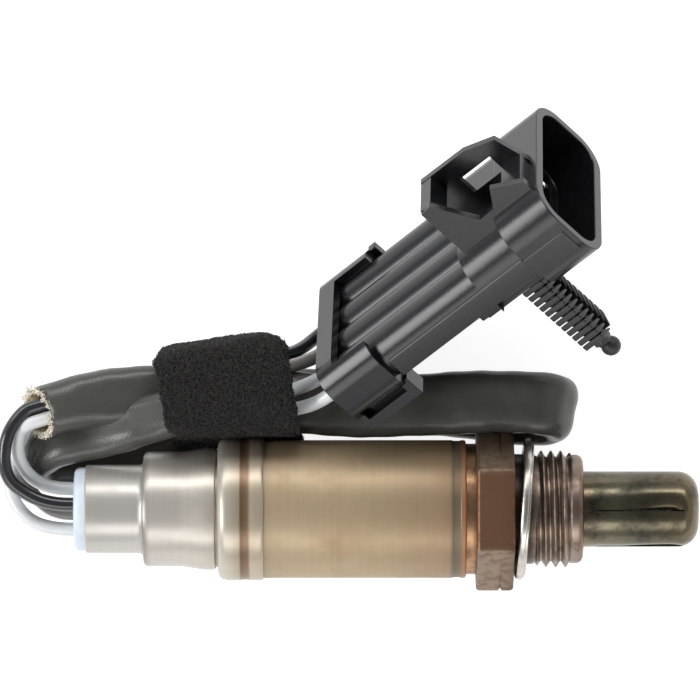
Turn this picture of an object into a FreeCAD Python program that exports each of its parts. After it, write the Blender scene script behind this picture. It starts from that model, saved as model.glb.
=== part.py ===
# Heated exhaust oxygen sensor with its sleeved lead, folded and tied, and its four-way plug.
# The probe lies along +X on one flat of its hexagon, with the tip at +X. The origin is on
# the surface it lies on, under the middle of the probe. All lengths are in millimetres.
import FreeCAD, Part
import math
import os

import Sketcher

Vector = FreeCAD.Vector
Rotation = FreeCAD.Rotation

# Every driving size, in millimetres.
SIZES = {
    # Lengths along the probe, from the rear face of its grommet to the tip.
    "probe_length": 96.0,
    "grommet_proud": 1.75,
    "crimp_length": 8.75,
    "shoulder_length": 0.7,
    "barrel_length": 5.55,
    "flare_length": 3.65,
    "flared_length": 1.2,
    "groove_length": 0.5,
    "collar_length": 7.0,
    "neck_length": 1.55,
    "hex_length": 5.8,
    "undercut_length": 3.2,
    "thread_length": 5.5,
    "nose_length": 1.9,
    "tip_length": 17.9,
    # Diameters and walls of the probe.
    "grommet_diameter": 12.9,
    "cap_wall": 0.35,
    "barrel_share": 0.83,
    "flared_share": 0.882,
    "groove_share": 0.844,
    "sleeve_diameter": 21.2,
    "sleeve_wall": 0.5,
    "sleeve_overlap": 5.4,
    "hex_across_flats": 22.0,
    "hex_chamfer": 0.8,
    "undercut_diameter": 17.1,
    "thread_diameter": 18.0,
    "thread_lead": 0.4,
    "nose_diameter": 16.7,
    "nose_round": 0.9,
    "tip_diameter": 11.6,
    "tip_wall": 0.5,
    "tip_round": 3.2,
    "tip_socket": 7.1,
    "slot_length": 12.5,
    "slot_width": 0.7,
    "slot_end_gap": 1.2,
    # The captive sealing ring, which hangs askew on the undercut.
    "ring_outside": 21.9,
    "ring_inside": 17.6,
    "ring_thickness": 1.6,
    "ring_slant": 4.0,
    # Pieces inside the probe.
    "element_diameter": 6.4,
    "element_bore": 4.0,
    "element_flange": 12.0,
    "element_flange_length": 5.0,
    "element_end_gap": 3.0,
    "packing_thickness": 1.0,
    "seat_wall": 6.0,
    "contact_disc_thickness": 0.5,
    "bush_length": 12.0,
    "spring_height": 1.4,
    "spring_thickness": 0.6,
    "heater_diameter": 3.0,
    "heater_end_gap": 1.0,
    "heater_grip": 4.0,
    "carrier_diameter": 14.0,
    "carrier_gap": 6.0,
    "crimp_outside": 2.7,
    "crimp_barrel_length": 4.5,
    "strip_thickness": 0.5,
    "strip_width": 1.6,
    "grommet_length": 7.0,
    # The lead.
    "wire_diameter": 2.1,
    "wire_hole_play": 0.04,
    "wire_circle": 6.4,
    "wire_exit": 3.0,
    "wire_turn": 14.5,
    "sleeving_diameter": 6.4,
    "strap_length": 20.5,
    "strap_width": 14.4,
    "strap_height": 21.9,
    "strap_wall": 1.2,
    "strap_round": 5.0,
    "strap_slew": 5.1,
    "strap_middle_x": -24.15,
    "strap_middle_y": 18.52,
    # The plug, in its own frame: along from its rear face to its mouth, across its four ways
    # and through its thickness.
    "way_pitch": 6.3,
    "way_diameter": 8.0,
    "housing_start": 1.25,
    "ways_end": 29.7,
    "shroud_start": 38.4,
    "mouth_at": 47.2,
    "waist_width": 27.2,
    "waist_thickness": 10.4,
    "shroud_width": 28.5,
    "shroud_thickness": 14.5,
    "shroud_wall": 1.5,
    "shroud_round": 5.0,
    "mouth_depth": 15.0,
    "waist_lift": 0.6,
    "base_width": 26.6,
    "base_thickness": 3.6,
    "lock_near_wing": 2.4,
    "lock_far_wing": 4.5,
    "lock_lip_length": 10.4,
    "lock_lip_width": 3.6,
    "lock_lip_drop": 1.8,
    "inner_mouth_width": 23.6,
    "inner_mouth_thickness": 8.2,
    "seal_diameter": 4.4,
    "seal_length": 6.0,
    "terminal_bore": 2.9,
    "blade_width": 1.5,
    "blade_thickness": 0.8,
    "blade_reach": 41.4,
    "lock_wall": 1.2,
    "lock_width": 28.7,
    "lock_thickness": 11.0,
    "lock_ring_length": 3.2,
    "lock_wing_length": 9.8,
    "lock_play": 0.1,
    "latch_across": -5.5,
    "latch_span": 8.0,
    "latch_plate": 1.2,
    "latch_start": 31.0,
    "latch_top": 15.3,
    "clip_along": 33.8,
    "clip_across": -6.0,
    "clip_rib_count": 11,
    "clip_rib_pitch": 1.35,
    "clip_rib_thickness": 0.5,
    "clip_width": 7.4,
    "clip_depth": 4.6,
    "clip_stem": 2.4,
    "clip_plate": 1.4,
    "clip_root_gap": 1.4,
    "plug_x": -6.83,
    "plug_y": 24.3,
    "plug_height": 12.75,
}

doc = FreeCAD.newDocument("oxygen_sensor")
sheet = doc.addObject("Spreadsheet::Sheet", "Sizes")
pieces = []


class Size:
    """A length known both as a number and as the sheet expression that gives it."""

    def __init__(self, expression, value):
        self.expression = expression
        self.value = value

    def _join(self, sign, other, value):
        return Size("(%s %s %s)" % (self.expression, sign, other.expression), value)

    def __add__(self, other):
        other = as_size(other)
        return self._join("+", other, self.value + other.value)

    def __radd__(self, other):
        return as_size(other) + self

    def __sub__(self, other):
        other = as_size(other)
        return self._join("-", other, self.value - other.value)

    def __rsub__(self, other):
        return as_size(other) - self

    def __mul__(self, other):
        other = as_size(other)
        return self._join("*", other, self.value * other.value)

    def __truediv__(self, other):
        other = as_size(other)
        return self._join("/", other, self.value / other.value)

    def __neg__(self):
        return as_size(0) - self


def as_size(value):
    if isinstance(value, Size):
        return value
    return Size("%.6f" % value, float(value))


class Sizes:
    """The sheet's sizes by name, one row for each."""

    def __init__(self, table):
        for row, (alias, value) in enumerate(table.items(), 1):
            sheet.set("A%d" % row, alias)
            sheet.set("B%d" % row, str(value))
            sheet.setAlias("B%d" % row, alias)
            setattr(self, alias, Size("Sizes.%s" % alias, float(value)))


mm = Sizes(SIZES)
doc.recompute()

# What is left of the probe's length shows as plain sleeve.
sleeve_showing = (mm.probe_length - mm.grommet_proud - mm.crimp_length - mm.shoulder_length
                  - mm.barrel_length - mm.flare_length - mm.flared_length - mm.groove_length
                  - mm.collar_length - mm.neck_length - mm.hex_length - mm.undercut_length
                  - mm.thread_length - mm.nose_length - mm.tip_length)
axis_height = mm.hex_across_flats / 2


def bind(thing, name, size):
    """Sets a property and ties it to the sheet."""
    size = as_size(size)
    if "." not in name:
        setattr(thing, name, size.value)
    thing.setExpression(name, size.expression)


def sketch_on(body, plane_role, points):
    """A closed outline whose every corner is held by two dimensions tied to the sheet."""
    sketch = body.newObject("Sketcher::SketchObject", "Outline")
    plane = [item for item in body.Origin.OriginFeatures if item.Role == plane_role][0]
    sketch.AttachmentSupport = [(plane, "")]
    sketch.MapMode = "FlatFace"
    corners = [(as_size(x), as_size(y)) for x, y in points]
    count = len(corners)
    for index in range(count):
        start = corners[index]
        end = corners[(index + 1) % count]
        line = Part.LineSegment(Vector(start[0].value, start[1].value, 0),
                                Vector(end[0].value, end[1].value, 0))
        sketch.addGeometry(line, False)
    for index in range(count):
        following = (index + 1) % count
        sketch.addConstraint(Sketcher.Constraint("Coincident", index, 2, following, 1))
    for index, corner in enumerate(corners):
        for kind, size in (("DistanceX", corner[0]), ("DistanceY", corner[1])):
            held = sketch.addConstraint(
                Sketcher.Constraint(kind, -1, 1, index, 1, size.value))
            sketch.setExpression("Constraints[%d]" % held, size.expression)
    return sketch


def turned(name, points):
    """A body turned about the X axis from an outline of (along, radius) corners."""
    body = doc.addObject("PartDesign::Body", name)
    sketch = sketch_on(body, "XY_Plane", points)
    revolution = body.newObject("PartDesign::Revolution", "Turn")
    revolution.Profile = sketch
    revolution.ReferenceAxis = (sketch, ["H_Axis"])
    revolution.Angle = 360
    sketch.Visibility = False
    return body


def plate(name, points, at, thickness):
    """A body padded both ways from an outline in the plug's length and thickness."""
    body = doc.addObject("PartDesign::Body", name)
    sketch = sketch_on(body, "XZ_Plane", points)
    pad = body.newObject("PartDesign::Pad", "Pad")
    pad.Profile = sketch
    pad.Midplane = True
    bind(pad, "Length", thickness)
    bind(body, "Placement.Base.y", at)
    return body


def place(thing, x=0, y=0, z=0, rotation=None):
    """Puts a primitive at a place tied to the sheet, with a fixed rotation."""
    base = [as_size(value) for value in (x, y, z)]
    thing.Placement = FreeCAD.Placement(Vector(*[size.value for size in base]),
                                        rotation or Rotation())
    for axis, size in zip("xyz", base):
        thing.setExpression("Placement.Base.%s" % axis, size.expression)
    return thing


def rod(name, diameter, length, x=0, y=0, z=0):
    """A cylinder along +X."""
    cylinder = doc.addObject("Part::Cylinder", name)
    bind(cylinder, "Radius", as_size(diameter) / 2)
    bind(cylinder, "Height", length)
    return place(cylinder, x, y, z, Rotation(Vector(0, 1, 0), 90))


def block(name, start, end, width, thickness, y=0, z=0):
    """A box along +X between two stations, centred across and through."""
    box = doc.addObject("Part::Box", name)
    bind(box, "Length", as_size(end) - start)
    bind(box, "Width", width)
    bind(box, "Height", thickness)
    return place(box, start, as_size(y) - as_size(width) / 2,
                 as_size(z) - as_size(thickness) / 2)


def rounded_along_x(name, base, radius):
    """Rounds the four long edges of a block."""
    doc.recompute()
    fillet = doc.addObject("Part::Fillet", name)
    fillet.Base = base
    edges = []
    for number, edge in enumerate(base.Shape.Edges, 1):
        direction = edge.tangentAt(edge.FirstParameter)
        if abs(abs(direction.x) - 1) < 1e-6:
            edges.append((number, radius.value, radius.value))
    fillet.Edges = edges
    return fillet


def cut(name, base, *tools):
    result = doc.addObject("Part::Cut", name)
    result.Base = base
    result.Tool = tools[0] if len(tools) == 1 else fuse(name + "_tools", *tools)
    return result


def fuse(name, *parts):
    result = doc.addObject("Part::MultiFuse", name)
    result.Shapes = list(parts)
    return result


def common(name, base, tool):
    result = doc.addObject("Part::Common", name)
    result.Base = base
    result.Tool = tool
    return result


def finish(thing, label):
    """Names a finished piece."""
    thing.Label = label
    pieces.append(thing)
    return thing


def finish_on_probe(thing, label, along=0, rotation=None):
    """Names a piece made about the probe's axis and lays it where the probe lies."""
    place(thing, as_size(along) - mm.probe_length / 2, 0, axis_height, rotation)
    return finish(thing, label)


# Stations of the probe, measured from the rear face of the grommet.
crimp_end = mm.grommet_proud + mm.crimp_length
barrel_start = crimp_end + mm.shoulder_length
barrel_end = barrel_start + mm.barrel_length
flare_end = barrel_end + mm.flare_length
flared_end = flare_end + mm.flared_length
collar_start = flared_end + mm.groove_length
collar_end = collar_start + mm.collar_length
sleeve_end = collar_end + sleeve_showing
hex_start = sleeve_end + mm.neck_length
hex_end = hex_start + mm.hex_length
undercut_end = hex_end + mm.undercut_length
thread_end = undercut_end + mm.thread_length
nose_end = thread_end + mm.nose_length
tip_end = nose_end + mm.tip_length
collar_diameter = mm.sleeve_diameter + mm.cap_wall * 2
crimp_diameter = mm.grommet_diameter + mm.cap_wall * 2
barrel_diameter = mm.sleeve_diameter * mm.barrel_share
flared_diameter = mm.sleeve_diameter * mm.flared_share
groove_diameter = mm.sleeve_diameter * mm.groove_share
neck_diameter = mm.sleeve_diameter - mm.sleeve_wall * 2
sleeve_start = collar_end - mm.sleeve_overlap
seat_at = hex_start + mm.hex_length / 2
tip_start = nose_end - mm.tip_socket


def make_shell():
    """The steel shell: neck, spanner hexagon, undercut, thread and nose in one turning."""
    profile = turned("shell_turning", [
        (seat_at - mm.seat_wall - mm.packing_thickness, neck_diameter / 2),
        (hex_end, neck_diameter / 2),
        (hex_end, mm.undercut_diameter / 2),
        (undercut_end, mm.undercut_diameter / 2),
        (undercut_end + mm.thread_lead, mm.thread_diameter / 2),
        (thread_end - mm.thread_lead, mm.thread_diameter / 2),
        (thread_end, mm.nose_diameter / 2),
        (nose_end - mm.nose_round, mm.nose_diameter / 2),
        (nose_end, mm.nose_diameter / 2 - mm.nose_round),
        (nose_end, mm.tip_diameter / 2),
        (tip_start, mm.tip_diameter / 2),
        (tip_start, mm.element_diameter / 2 + mm.tip_wall),
        (seat_at, mm.element_diameter / 2 + mm.tip_wall),
        (seat_at, mm.element_flange / 2 + 0.1),
        (seat_at - mm.seat_wall - mm.packing_thickness, mm.element_flange / 2 + 0.1),
    ])
    prism = doc.addObject("Part::Prism", "hexagon")
    prism.Polygon = 6
    bind(prism, "Circumradius", mm.hex_across_flats / math.sqrt(3))
    bind(prism, "Height", mm.hex_length)
    flats_level = Rotation(Vector(0, 1, 0), 90) * Rotation(Vector(0, 0, 1), 30)
    place(prism, hex_start, 0, 0, flats_level)
    corner_radius = mm.hex_across_flats / math.sqrt(3)
    envelope = turned("hexagon_chamfer", [
        (hex_start, neck_diameter / 2 - 1),
        (hex_start, corner_radius),
        (hex_end - mm.hex_chamfer, corner_radius),
        (hex_end, corner_radius - mm.hex_chamfer * 1.5),
        (hex_end, neck_diameter / 2 - 1),
    ])
    hexagon = common("chamfered_hexagon", prism, envelope)
    finish_on_probe(fuse("shell", profile, hexagon), "threaded_shell")


def make_rear_cap():
    """The drawn steel cap: a wide collar over the sleeve, stepping down to the crimp."""
    outside = [
        (mm.grommet_proud, crimp_diameter / 2),
        (crimp_end, crimp_diameter / 2),
        (crimp_end + 0.1, barrel_diameter / 2 - 0.45),
        (barrel_start, barrel_diameter / 2),
        (barrel_end, barrel_diameter / 2),
        (flare_end, flared_diameter / 2),
        (flared_end, flared_diameter / 2),
        (flared_end + 0.15, groove_diameter / 2),
        (collar_start, groove_diameter / 2),
        (collar_start + 0.2, collar_diameter / 2 - 0.9),
        (collar_start + 1.2, collar_diameter / 2),
        (collar_end, collar_diameter / 2),
    ]
    inside = [(along + mm.cap_wall, radius - mm.cap_wall) for along, radius in outside[1:6]]
    inside += [(along - mm.cap_wall, radius - mm.cap_wall) for along, radius in outside[6:8]]
    inside += [(along + mm.cap_wall, radius - mm.cap_wall) for along, radius in outside[8:-1]]
    inside = ([(mm.grommet_proud, crimp_diameter / 2 - mm.cap_wall)] + inside
              + [(collar_end, collar_diameter / 2 - mm.cap_wall)])
    finish_on_probe(turned("rear_cap_turning", outside + inside[::-1]), "rear_cap")


def make_sleeve():
    """The plain tube between the cap's collar and the shell's neck."""
    tube = turned("sleeve_turning", [
        (sleeve_start, mm.sleeve_diameter / 2),
        (sleeve_end - 0.25, mm.sleeve_diameter / 2),
        (sleeve_end, mm.sleeve_diameter / 2 - 0.25),
        (sleeve_end, neck_diameter / 2),
        (sleeve_start, neck_diameter / 2),
    ])
    finish_on_probe(tube, "probe_sleeve")


def make_tip():
    """The closed protection tube with four lengthwise gas slots."""
    bend = mm.tip_round * (1 - math.sqrt(0.5))
    tube = turned("tip_turning", [
        (tip_start, mm.tip_diameter / 2),
        (tip_end - mm.tip_round, mm.tip_diameter / 2),
        (tip_end - bend, mm.tip_diameter / 2 - bend),
        (tip_end, mm.tip_diameter / 2 - mm.tip_round),
        (tip_end, 0),
        (tip_end - mm.tip_wall, 0),
        (tip_end - mm.tip_wall, mm.tip_diameter / 2 - mm.tip_round),
        (tip_end - bend - mm.tip_wall, mm.tip_diameter / 2 - bend - mm.tip_wall * 0.6),
        (tip_end - mm.tip_round, mm.tip_diameter / 2 - mm.tip_wall),
        (tip_start, mm.tip_diameter / 2 - mm.tip_wall),
    ])
    slot_start = nose_end + mm.slot_end_gap
    through = block("slot_across", slot_start, slot_start + mm.slot_length, mm.slot_width,
                    mm.tip_diameter + 2)
    level = block("slot_level", slot_start, slot_start + mm.slot_length, mm.tip_diameter + 2,
                  mm.slot_width)
    finish_on_probe(cut("tip", tube, through, level), "protection_tube")


def make_sealing_ring():
    """The captive folded sealing ring behind the thread, hanging a few degrees askew."""
    bulge = mm.ring_thickness * 0.3
    ring = turned("ring_turning", [
        (-mm.ring_thickness / 2, mm.ring_inside / 2 + bulge),
        (-mm.ring_thickness / 2, mm.ring_outside / 2 - bulge),
        (-mm.ring_thickness / 2 + bulge, mm.ring_outside / 2),
        (mm.ring_thickness / 2 - bulge, mm.ring_outside / 2),
        (mm.ring_thickness / 2, mm.ring_outside / 2 - bulge),
        (mm.ring_thickness / 2, mm.ring_inside / 2 + bulge),
        (mm.ring_thickness / 2 - bulge, mm.ring_inside / 2),
        (-mm.ring_thickness / 2 + bulge, mm.ring_inside / 2),
    ])
    askew = Rotation(Vector(0, 0, 1), -mm.ring_slant.value)
    finish_on_probe(ring, "sealing_ring", hex_end + mm.undercut_length / 2 + 0.05, askew)


def make_inner_stack():
    """What the probe holds: the sensing element, its packing, bush, spring and heater."""
    flange_end = seat_at - mm.packing_thickness
    flange_start = flange_end - mm.element_flange_length
    element_end = tip_end - mm.element_end_gap
    element = turned("element_turning", [
        (flange_start, mm.element_flange / 2),
        (flange_end, mm.element_flange / 2),
        (flange_end, mm.element_diameter / 2),
        (element_end - 1.2, mm.element_diameter / 2),
        (element_end, mm.element_diameter / 2 - 1.2),
        (element_end, 0),
        (element_end - 1.2, 0),
        (element_end - 1.2, mm.element_bore / 2),
        (flange_start, mm.element_bore / 2),
    ])
    finish_on_probe(element, "sensing_element")
    packing = turned("packing_turning", [
        (flange_end, mm.element_flange / 2),
        (seat_at, mm.element_flange / 2),
        (seat_at, mm.element_diameter / 2 + mm.tip_wall),
        (flange_end, mm.element_diameter / 2 + mm.tip_wall),
    ])
    finish_on_probe(packing, "packing_washer")
    disc_start = flange_start - mm.contact_disc_thickness
    disc = turned("disc_turning", [
        (disc_start, mm.element_flange / 2),
        (flange_start, mm.element_flange / 2),
        (flange_start, mm.element_bore / 2 + 0.4),
        (disc_start, mm.element_bore / 2 + 0.4),
    ])
    finish_on_probe(disc, "signal_contact_disc")
    bush_start = disc_start - mm.bush_length
    bush = turned("bush_turning", [
        (bush_start, mm.element_flange / 2),
        (disc_start, mm.element_flange / 2),
        (disc_start, mm.element_bore / 2),
        (bush_start, mm.element_bore / 2),
    ])
    finish_on_probe(bush, "ceramic_bush")
    spring_start = bush_start - mm.spring_height
    spring = turned("spring_turning", [
        (spring_start, neck_diameter / 2 - 0.3),
        (spring_start + mm.spring_thickness, neck_diameter / 2 - 0.3),
        (bush_start, mm.element_bore / 2 + 2.2),
        (bush_start, mm.element_bore / 2 + 0.6),
    ])
    finish_on_probe(spring, "disc_spring")
    carrier_start = mm.grommet_length + mm.carrier_gap
    heater_start = spring_start - mm.heater_grip
    heater_length = element_end - 1.2 - mm.heater_end_gap - heater_start
    heater = turned("heater_turning", [
        (0, 0),
        (0, mm.heater_diameter / 2),
        (heater_length - 0.3, mm.heater_diameter / 2),
        (heater_length, mm.heater_diameter / 2 - 0.3),
        (heater_length, 0),
    ])
    finish_on_probe(heater, "heater_rod", heater_start)
    carrier_body = turned("carrier_turning", [
        (carrier_start, 0),
        (carrier_start, mm.carrier_diameter / 2),
        (spring_start - 1.0, mm.carrier_diameter / 2),
        (spring_start - 1.0, neck_diameter / 2 - 0.05),
        (spring_start, neck_diameter / 2 - 0.05),
        (spring_start, mm.heater_diameter / 2 + 0.02),
        (heater_start, mm.heater_diameter / 2 + 0.02),
        (heater_start, 0),
    ])
    channels = []
    for index in range(4):
        y, z = wire_offset(index)
        channels.append(rod("carrier_channel_%d" % index, mm.crimp_outside * 0.8,
                            spring_start - carrier_start + 2, carrier_start - 1, y, z))
    finish_on_probe(cut("carrier", carrier_body, *channels), "contact_carrier")
    return carrier_start, spring_start


def wire_offset(index):
    """Where one of the four wires passes the grommet, across and above the axis."""
    angle = math.radians(mm.wire_turn.value + 90 * index)
    return mm.wire_circle / 2 * math.sin(angle), mm.wire_circle / 2 * math.cos(angle)


def make_grommet():
    """The rear plug, crimped in the cap, with a hole for each wire."""
    plug = turned("grommet_turning", [
        (0, 0),
        (0, mm.grommet_diameter / 2 - 0.7),
        (0.25, mm.grommet_diameter / 2 - 0.2),
        (0.8, mm.grommet_diameter / 2),
        (mm.grommet_length, mm.grommet_diameter / 2),
        (mm.grommet_length, 0),
    ])
    holes = []
    for index in range(4):
        y, z = wire_offset(index)
        holes.append(rod("grommet_hole_%d" % index, mm.wire_diameter + mm.wire_hole_play * 2,
                         mm.grommet_length + 2, -1, y, z))
    finish_on_probe(cut("grommet", plug, *holes), "wire_grommet")


def make_contacts(carrier_start, carrier_end):
    """A crimp barrel and a flat strip on the end of each wire."""
    names = ("signal_contact", "heater_contact_a", "ground_contact", "heater_contact_b")
    barrel_at = mm.grommet_length + 0.3
    for index, name in enumerate(names):
        y, z = wire_offset(index)
        outer = rod(name + "_barrel", mm.crimp_outside, mm.crimp_barrel_length, barrel_at, y, z)
        bore = rod(name + "_bore", mm.wire_diameter + mm.wire_hole_play,
                   mm.crimp_barrel_length - 0.8, barrel_at - 0.2, y, z)
        strip = block(name + "_strip", barrel_at + mm.crimp_barrel_length - 0.4,
                      carrier_end - 1.5, mm.strip_width, mm.strip_thickness, y, z)
        finish_on_probe(fuse(name + "_joined", cut(name + "_crimp", outer, bore), strip),
                        name)


# The lead's routes: points chosen by hand, joined by runs and the largest arcs that fit.
SLEEVING_ROUTE = [
    (-53.0, 14.9, 14.6), (-44.5, 18.4, 13.8), (-35.0, 20.2, 12.4), (-25.0, 19.2, 11.5),
    (-14.0, 17.2, 11.1), (-6.0, 15.8, 10.9), (4.0, 15.9, 11.0), (10.0, 16.3, 12.2),
    (17.0, 16.6, 13.0), (24.1, 15.8, 13.4), (27.0, 15.3, 8.4), (24.1, 14.8, 3.4),
    (16.5, 15.6, 3.3), (7.0, 15.9, 3.4), (-3.0, 16.0, 3.3), (-12.0, 17.2, 4.7),
    (-20.0, 16.9, 4.8), (-29.0, 16.1, 4.9), (-37.0, 15.0, 4.8), (-43.0, 12.4, 3.9),
    (-48.3, 10.6, 3.5), (-50.6, 10.6, 7.5), (-48.3, 10.6, 11.5), (-42.5, 11.9, 12.8),
    (-35.0, 14.9, 16.1), (-29.0, 15.7, 17.3),
]
# Rear wires: straight out of the grommet, round to the left and up to the sleeving's mouth.
REAR_LOOPS = {
    "black_wire_rear": [(-55.6, 3.2, 14.4), (-58.4, 7.0, 15.6), (-58.6, 11.9, 17.2)],
    "white_wire_a_rear": [(-54.8, 5.2, 11.4), (-56.6, 8.8, 13.5), (-56.0, 11.8, 15.0)],
    "grey_wire_rear": [(-55.6, 2.6, 7.6), (-59.0, 6.6, 8.8), (-59.2, 11.4, 11.6)],
    "white_wire_b_rear": [(-54.6, -1.0, 11.4), (-57.4, 3.4, 10.8), (-57.0, 7.6, 10.4),
                          (-55.9, 10.8, 11.1)],
}
# Plug wires: out of the sleeving's end, under the strap and into the back of the plug.
PLUG_LOOPS = {
    "white_wire_a_plug": [(-24.4, 14.3, 16.0), (-19.6, 14.9, 16.0), (-14.2, 15.3, 16.6)],
    "white_wire_b_plug": [(-24.4, 15.3, 19.1), (-19.6, 17.1, 18.4), (-14.2, 18.3, 15.8)],
    "grey_wire_plug": [(-24.4, 18.2, 18.95), (-19.6, 21.1, 15.8), (-14.2, 22.0, 12.0)],
    "black_wire_plug": [(-24.4, 21.2, 16.9), (-19.6, 23.5, 12.8), (-14.2, 23.7, 7.6)],
}


def smooth_route(points):
    """Straight runs joined by tangent arcs, each as large as its two runs allow."""
    corners = [Vector(*point) for point in points]
    edges = []
    radii = []
    start = corners[0]
    for before, corner, after in zip(corners, corners[1:], corners[2:]):
        into = (corner - before).normalize()
        out = (after - corner).normalize()
        turn = into.getAngle(out)
        shorter = min(corner.distanceToPoint(before), corner.distanceToPoint(after))
        reach = 0.45 * shorter
        radii.append(reach / math.tan(turn / 2))
        first = corner - into * reach
        last = corner + out * reach
        middle_way = (out - into).normalize()
        centre_gap = radii[-1] / math.cos(turn / 2)
        middle = corner + middle_way * (centre_gap - radii[-1])
        edges.append(Part.LineSegment(start, first).toShape())
        edges.append(Part.Arc(first, middle, last).toShape())
        start = last
    edges.append(Part.LineSegment(start, corners[-1]).toShape())
    return Part.Wire(edges), radii


def cord(label, points, diameter):
    """A plain round tube along a route."""
    path, radii = smooth_route(points)
    heading = Vector(*points[1]) - Vector(*points[0])
    ring = Part.Wire([Part.Circle(Vector(*points[0]), heading, diameter.value / 2).toShape()])
    solid = path.makePipeShell([ring], True, False, 2)
    expected = math.pi * (diameter.value / 2) ** 2 * path.Length
    print("%s: length %.1f, volume ratio %.4f, radii %s" % (
        label, path.Length, solid.Volume / expected,
        ", ".join("%.1f" % radius for radius in radii)))
    feature = doc.addObject("Part::Feature", label)
    feature.Shape = solid
    return finish(feature, label)


def across_cord(point, toward, side, lift, ahead=0):
    """A place beside a cord's end, in or ahead of the plane square to its heading."""
    start = Vector(*point)
    heading = (Vector(*toward) - start).normalize()
    sideways = Vector(0, 0, 1).cross(heading).normalize()
    up = heading.cross(sideways)
    place_at = start + sideways * side + up * lift + heading * ahead
    return tuple(place_at)


def plug_point(along, across, through=0):
    """A place of the plug's own frame, where the plug lies."""
    return tuple(plug_placement().multVec(Vector(along, across, through)))


def plug_placement():
    """The plug's lie: its length rises to the mouth and it leans on its far edge."""
    length_way = Vector(0.723, 0.553, 0.415).normalize()
    across_guess = Vector(0.023, 0.579, -0.815)
    through_way = length_way.cross(across_guess).normalize()
    across_way = through_way.cross(length_way)
    turn = Rotation(length_way, across_way, through_way, "XYZ")
    return FreeCAD.Placement(Vector(mm.plug_x.value, mm.plug_y.value, mm.plug_height.value), turn)


def make_lead():
    """The sleeving in three folds, and the bare wires at its two ends."""
    cord("wire_sleeving", SLEEVING_ROUTE, mm.sleeving_diameter)
    rear_x = -mm.probe_length.value / 2
    inside_x = rear_x + mm.grommet_length.value + 2.0
    beside = mm.wire_diameter.value * 0.53
    order = ("black_wire_rear", "white_wire_a_rear", "grey_wire_rear", "white_wire_b_rear")
    spots = {"black_wire_rear": (beside, beside), "white_wire_a_rear": (-beside, beside),
             "grey_wire_rear": (beside, -beside), "white_wire_b_rear": (-beside, -beside)}
    for index, name in enumerate(order):
        y, z = (offset.value for offset in wire_offset(index))
        start = (inside_x, y, axis_height.value + z)
        side, lift = spots[name]
        end = across_cord(SLEEVING_ROUTE[0], SLEEVING_ROUTE[1], side, lift)
        lead_in = across_cord(SLEEVING_ROUTE[0], SLEEVING_ROUTE[1], side, lift, -2.6)
        outside = (rear_x - mm.wire_exit.value, y, axis_height.value + z)
        cord(name, [start, outside] + REAR_LOOPS[name] + [lead_in, end], mm.wire_diameter)
    ways = (-1.5, -0.5, 0.5, 1.5)
    low, high = beside * 0.75 / 1.06, beside * 1.29 / 1.06
    starts = ((-low, -high), (-high, low), (low, high), (high, -low))
    for way, (side, lift), (name, loop) in zip(ways, starts, PLUG_LOOPS.items()):
        back = Vector(*SLEEVING_ROUTE[-1]) * 2 - Vector(*SLEEVING_ROUTE[-2])
        start = across_cord(SLEEVING_ROUTE[-1], tuple(back), side, lift)
        lead_out = across_cord(SLEEVING_ROUTE[-1], tuple(back), side, lift, 2.2)
        across = way * mm.way_pitch.value
        entry = plug_point(-4.2, across)
        inside = plug_point(mm.seal_length.value + 5.0, across)
        cord(name, [start, lead_out] + loop + [entry, inside], mm.wire_diameter)


def make_strap():
    """The hook-and-loop strap round the bundle, as one closed band."""
    outer = block("strap_outer", -mm.strap_length / 2, mm.strap_length / 2, mm.strap_width,
                  mm.strap_height)
    inner = block("strap_inner", -mm.strap_length / 2 - 1, mm.strap_length / 2 + 1,
                  mm.strap_width - mm.strap_wall * 2, mm.strap_height - mm.strap_wall * 2)
    band = cut("strap_band", rounded_along_x("strap_outer_round", outer, mm.strap_round),
               rounded_along_x("strap_inner_round", inner, mm.strap_round - mm.strap_wall))
    place(band, mm.strap_middle_x, mm.strap_middle_y, mm.strap_height / 2,
          Rotation(Vector(0, 0, 1), mm.strap_slew.value))
    finish(band, "cable_strap")


def finish_on_plug(thing, label):
    """Names a piece made in the plug's frame and lays it where the plug lies."""
    thing.Placement = plug_placement()
    return finish(thing, label)


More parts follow.
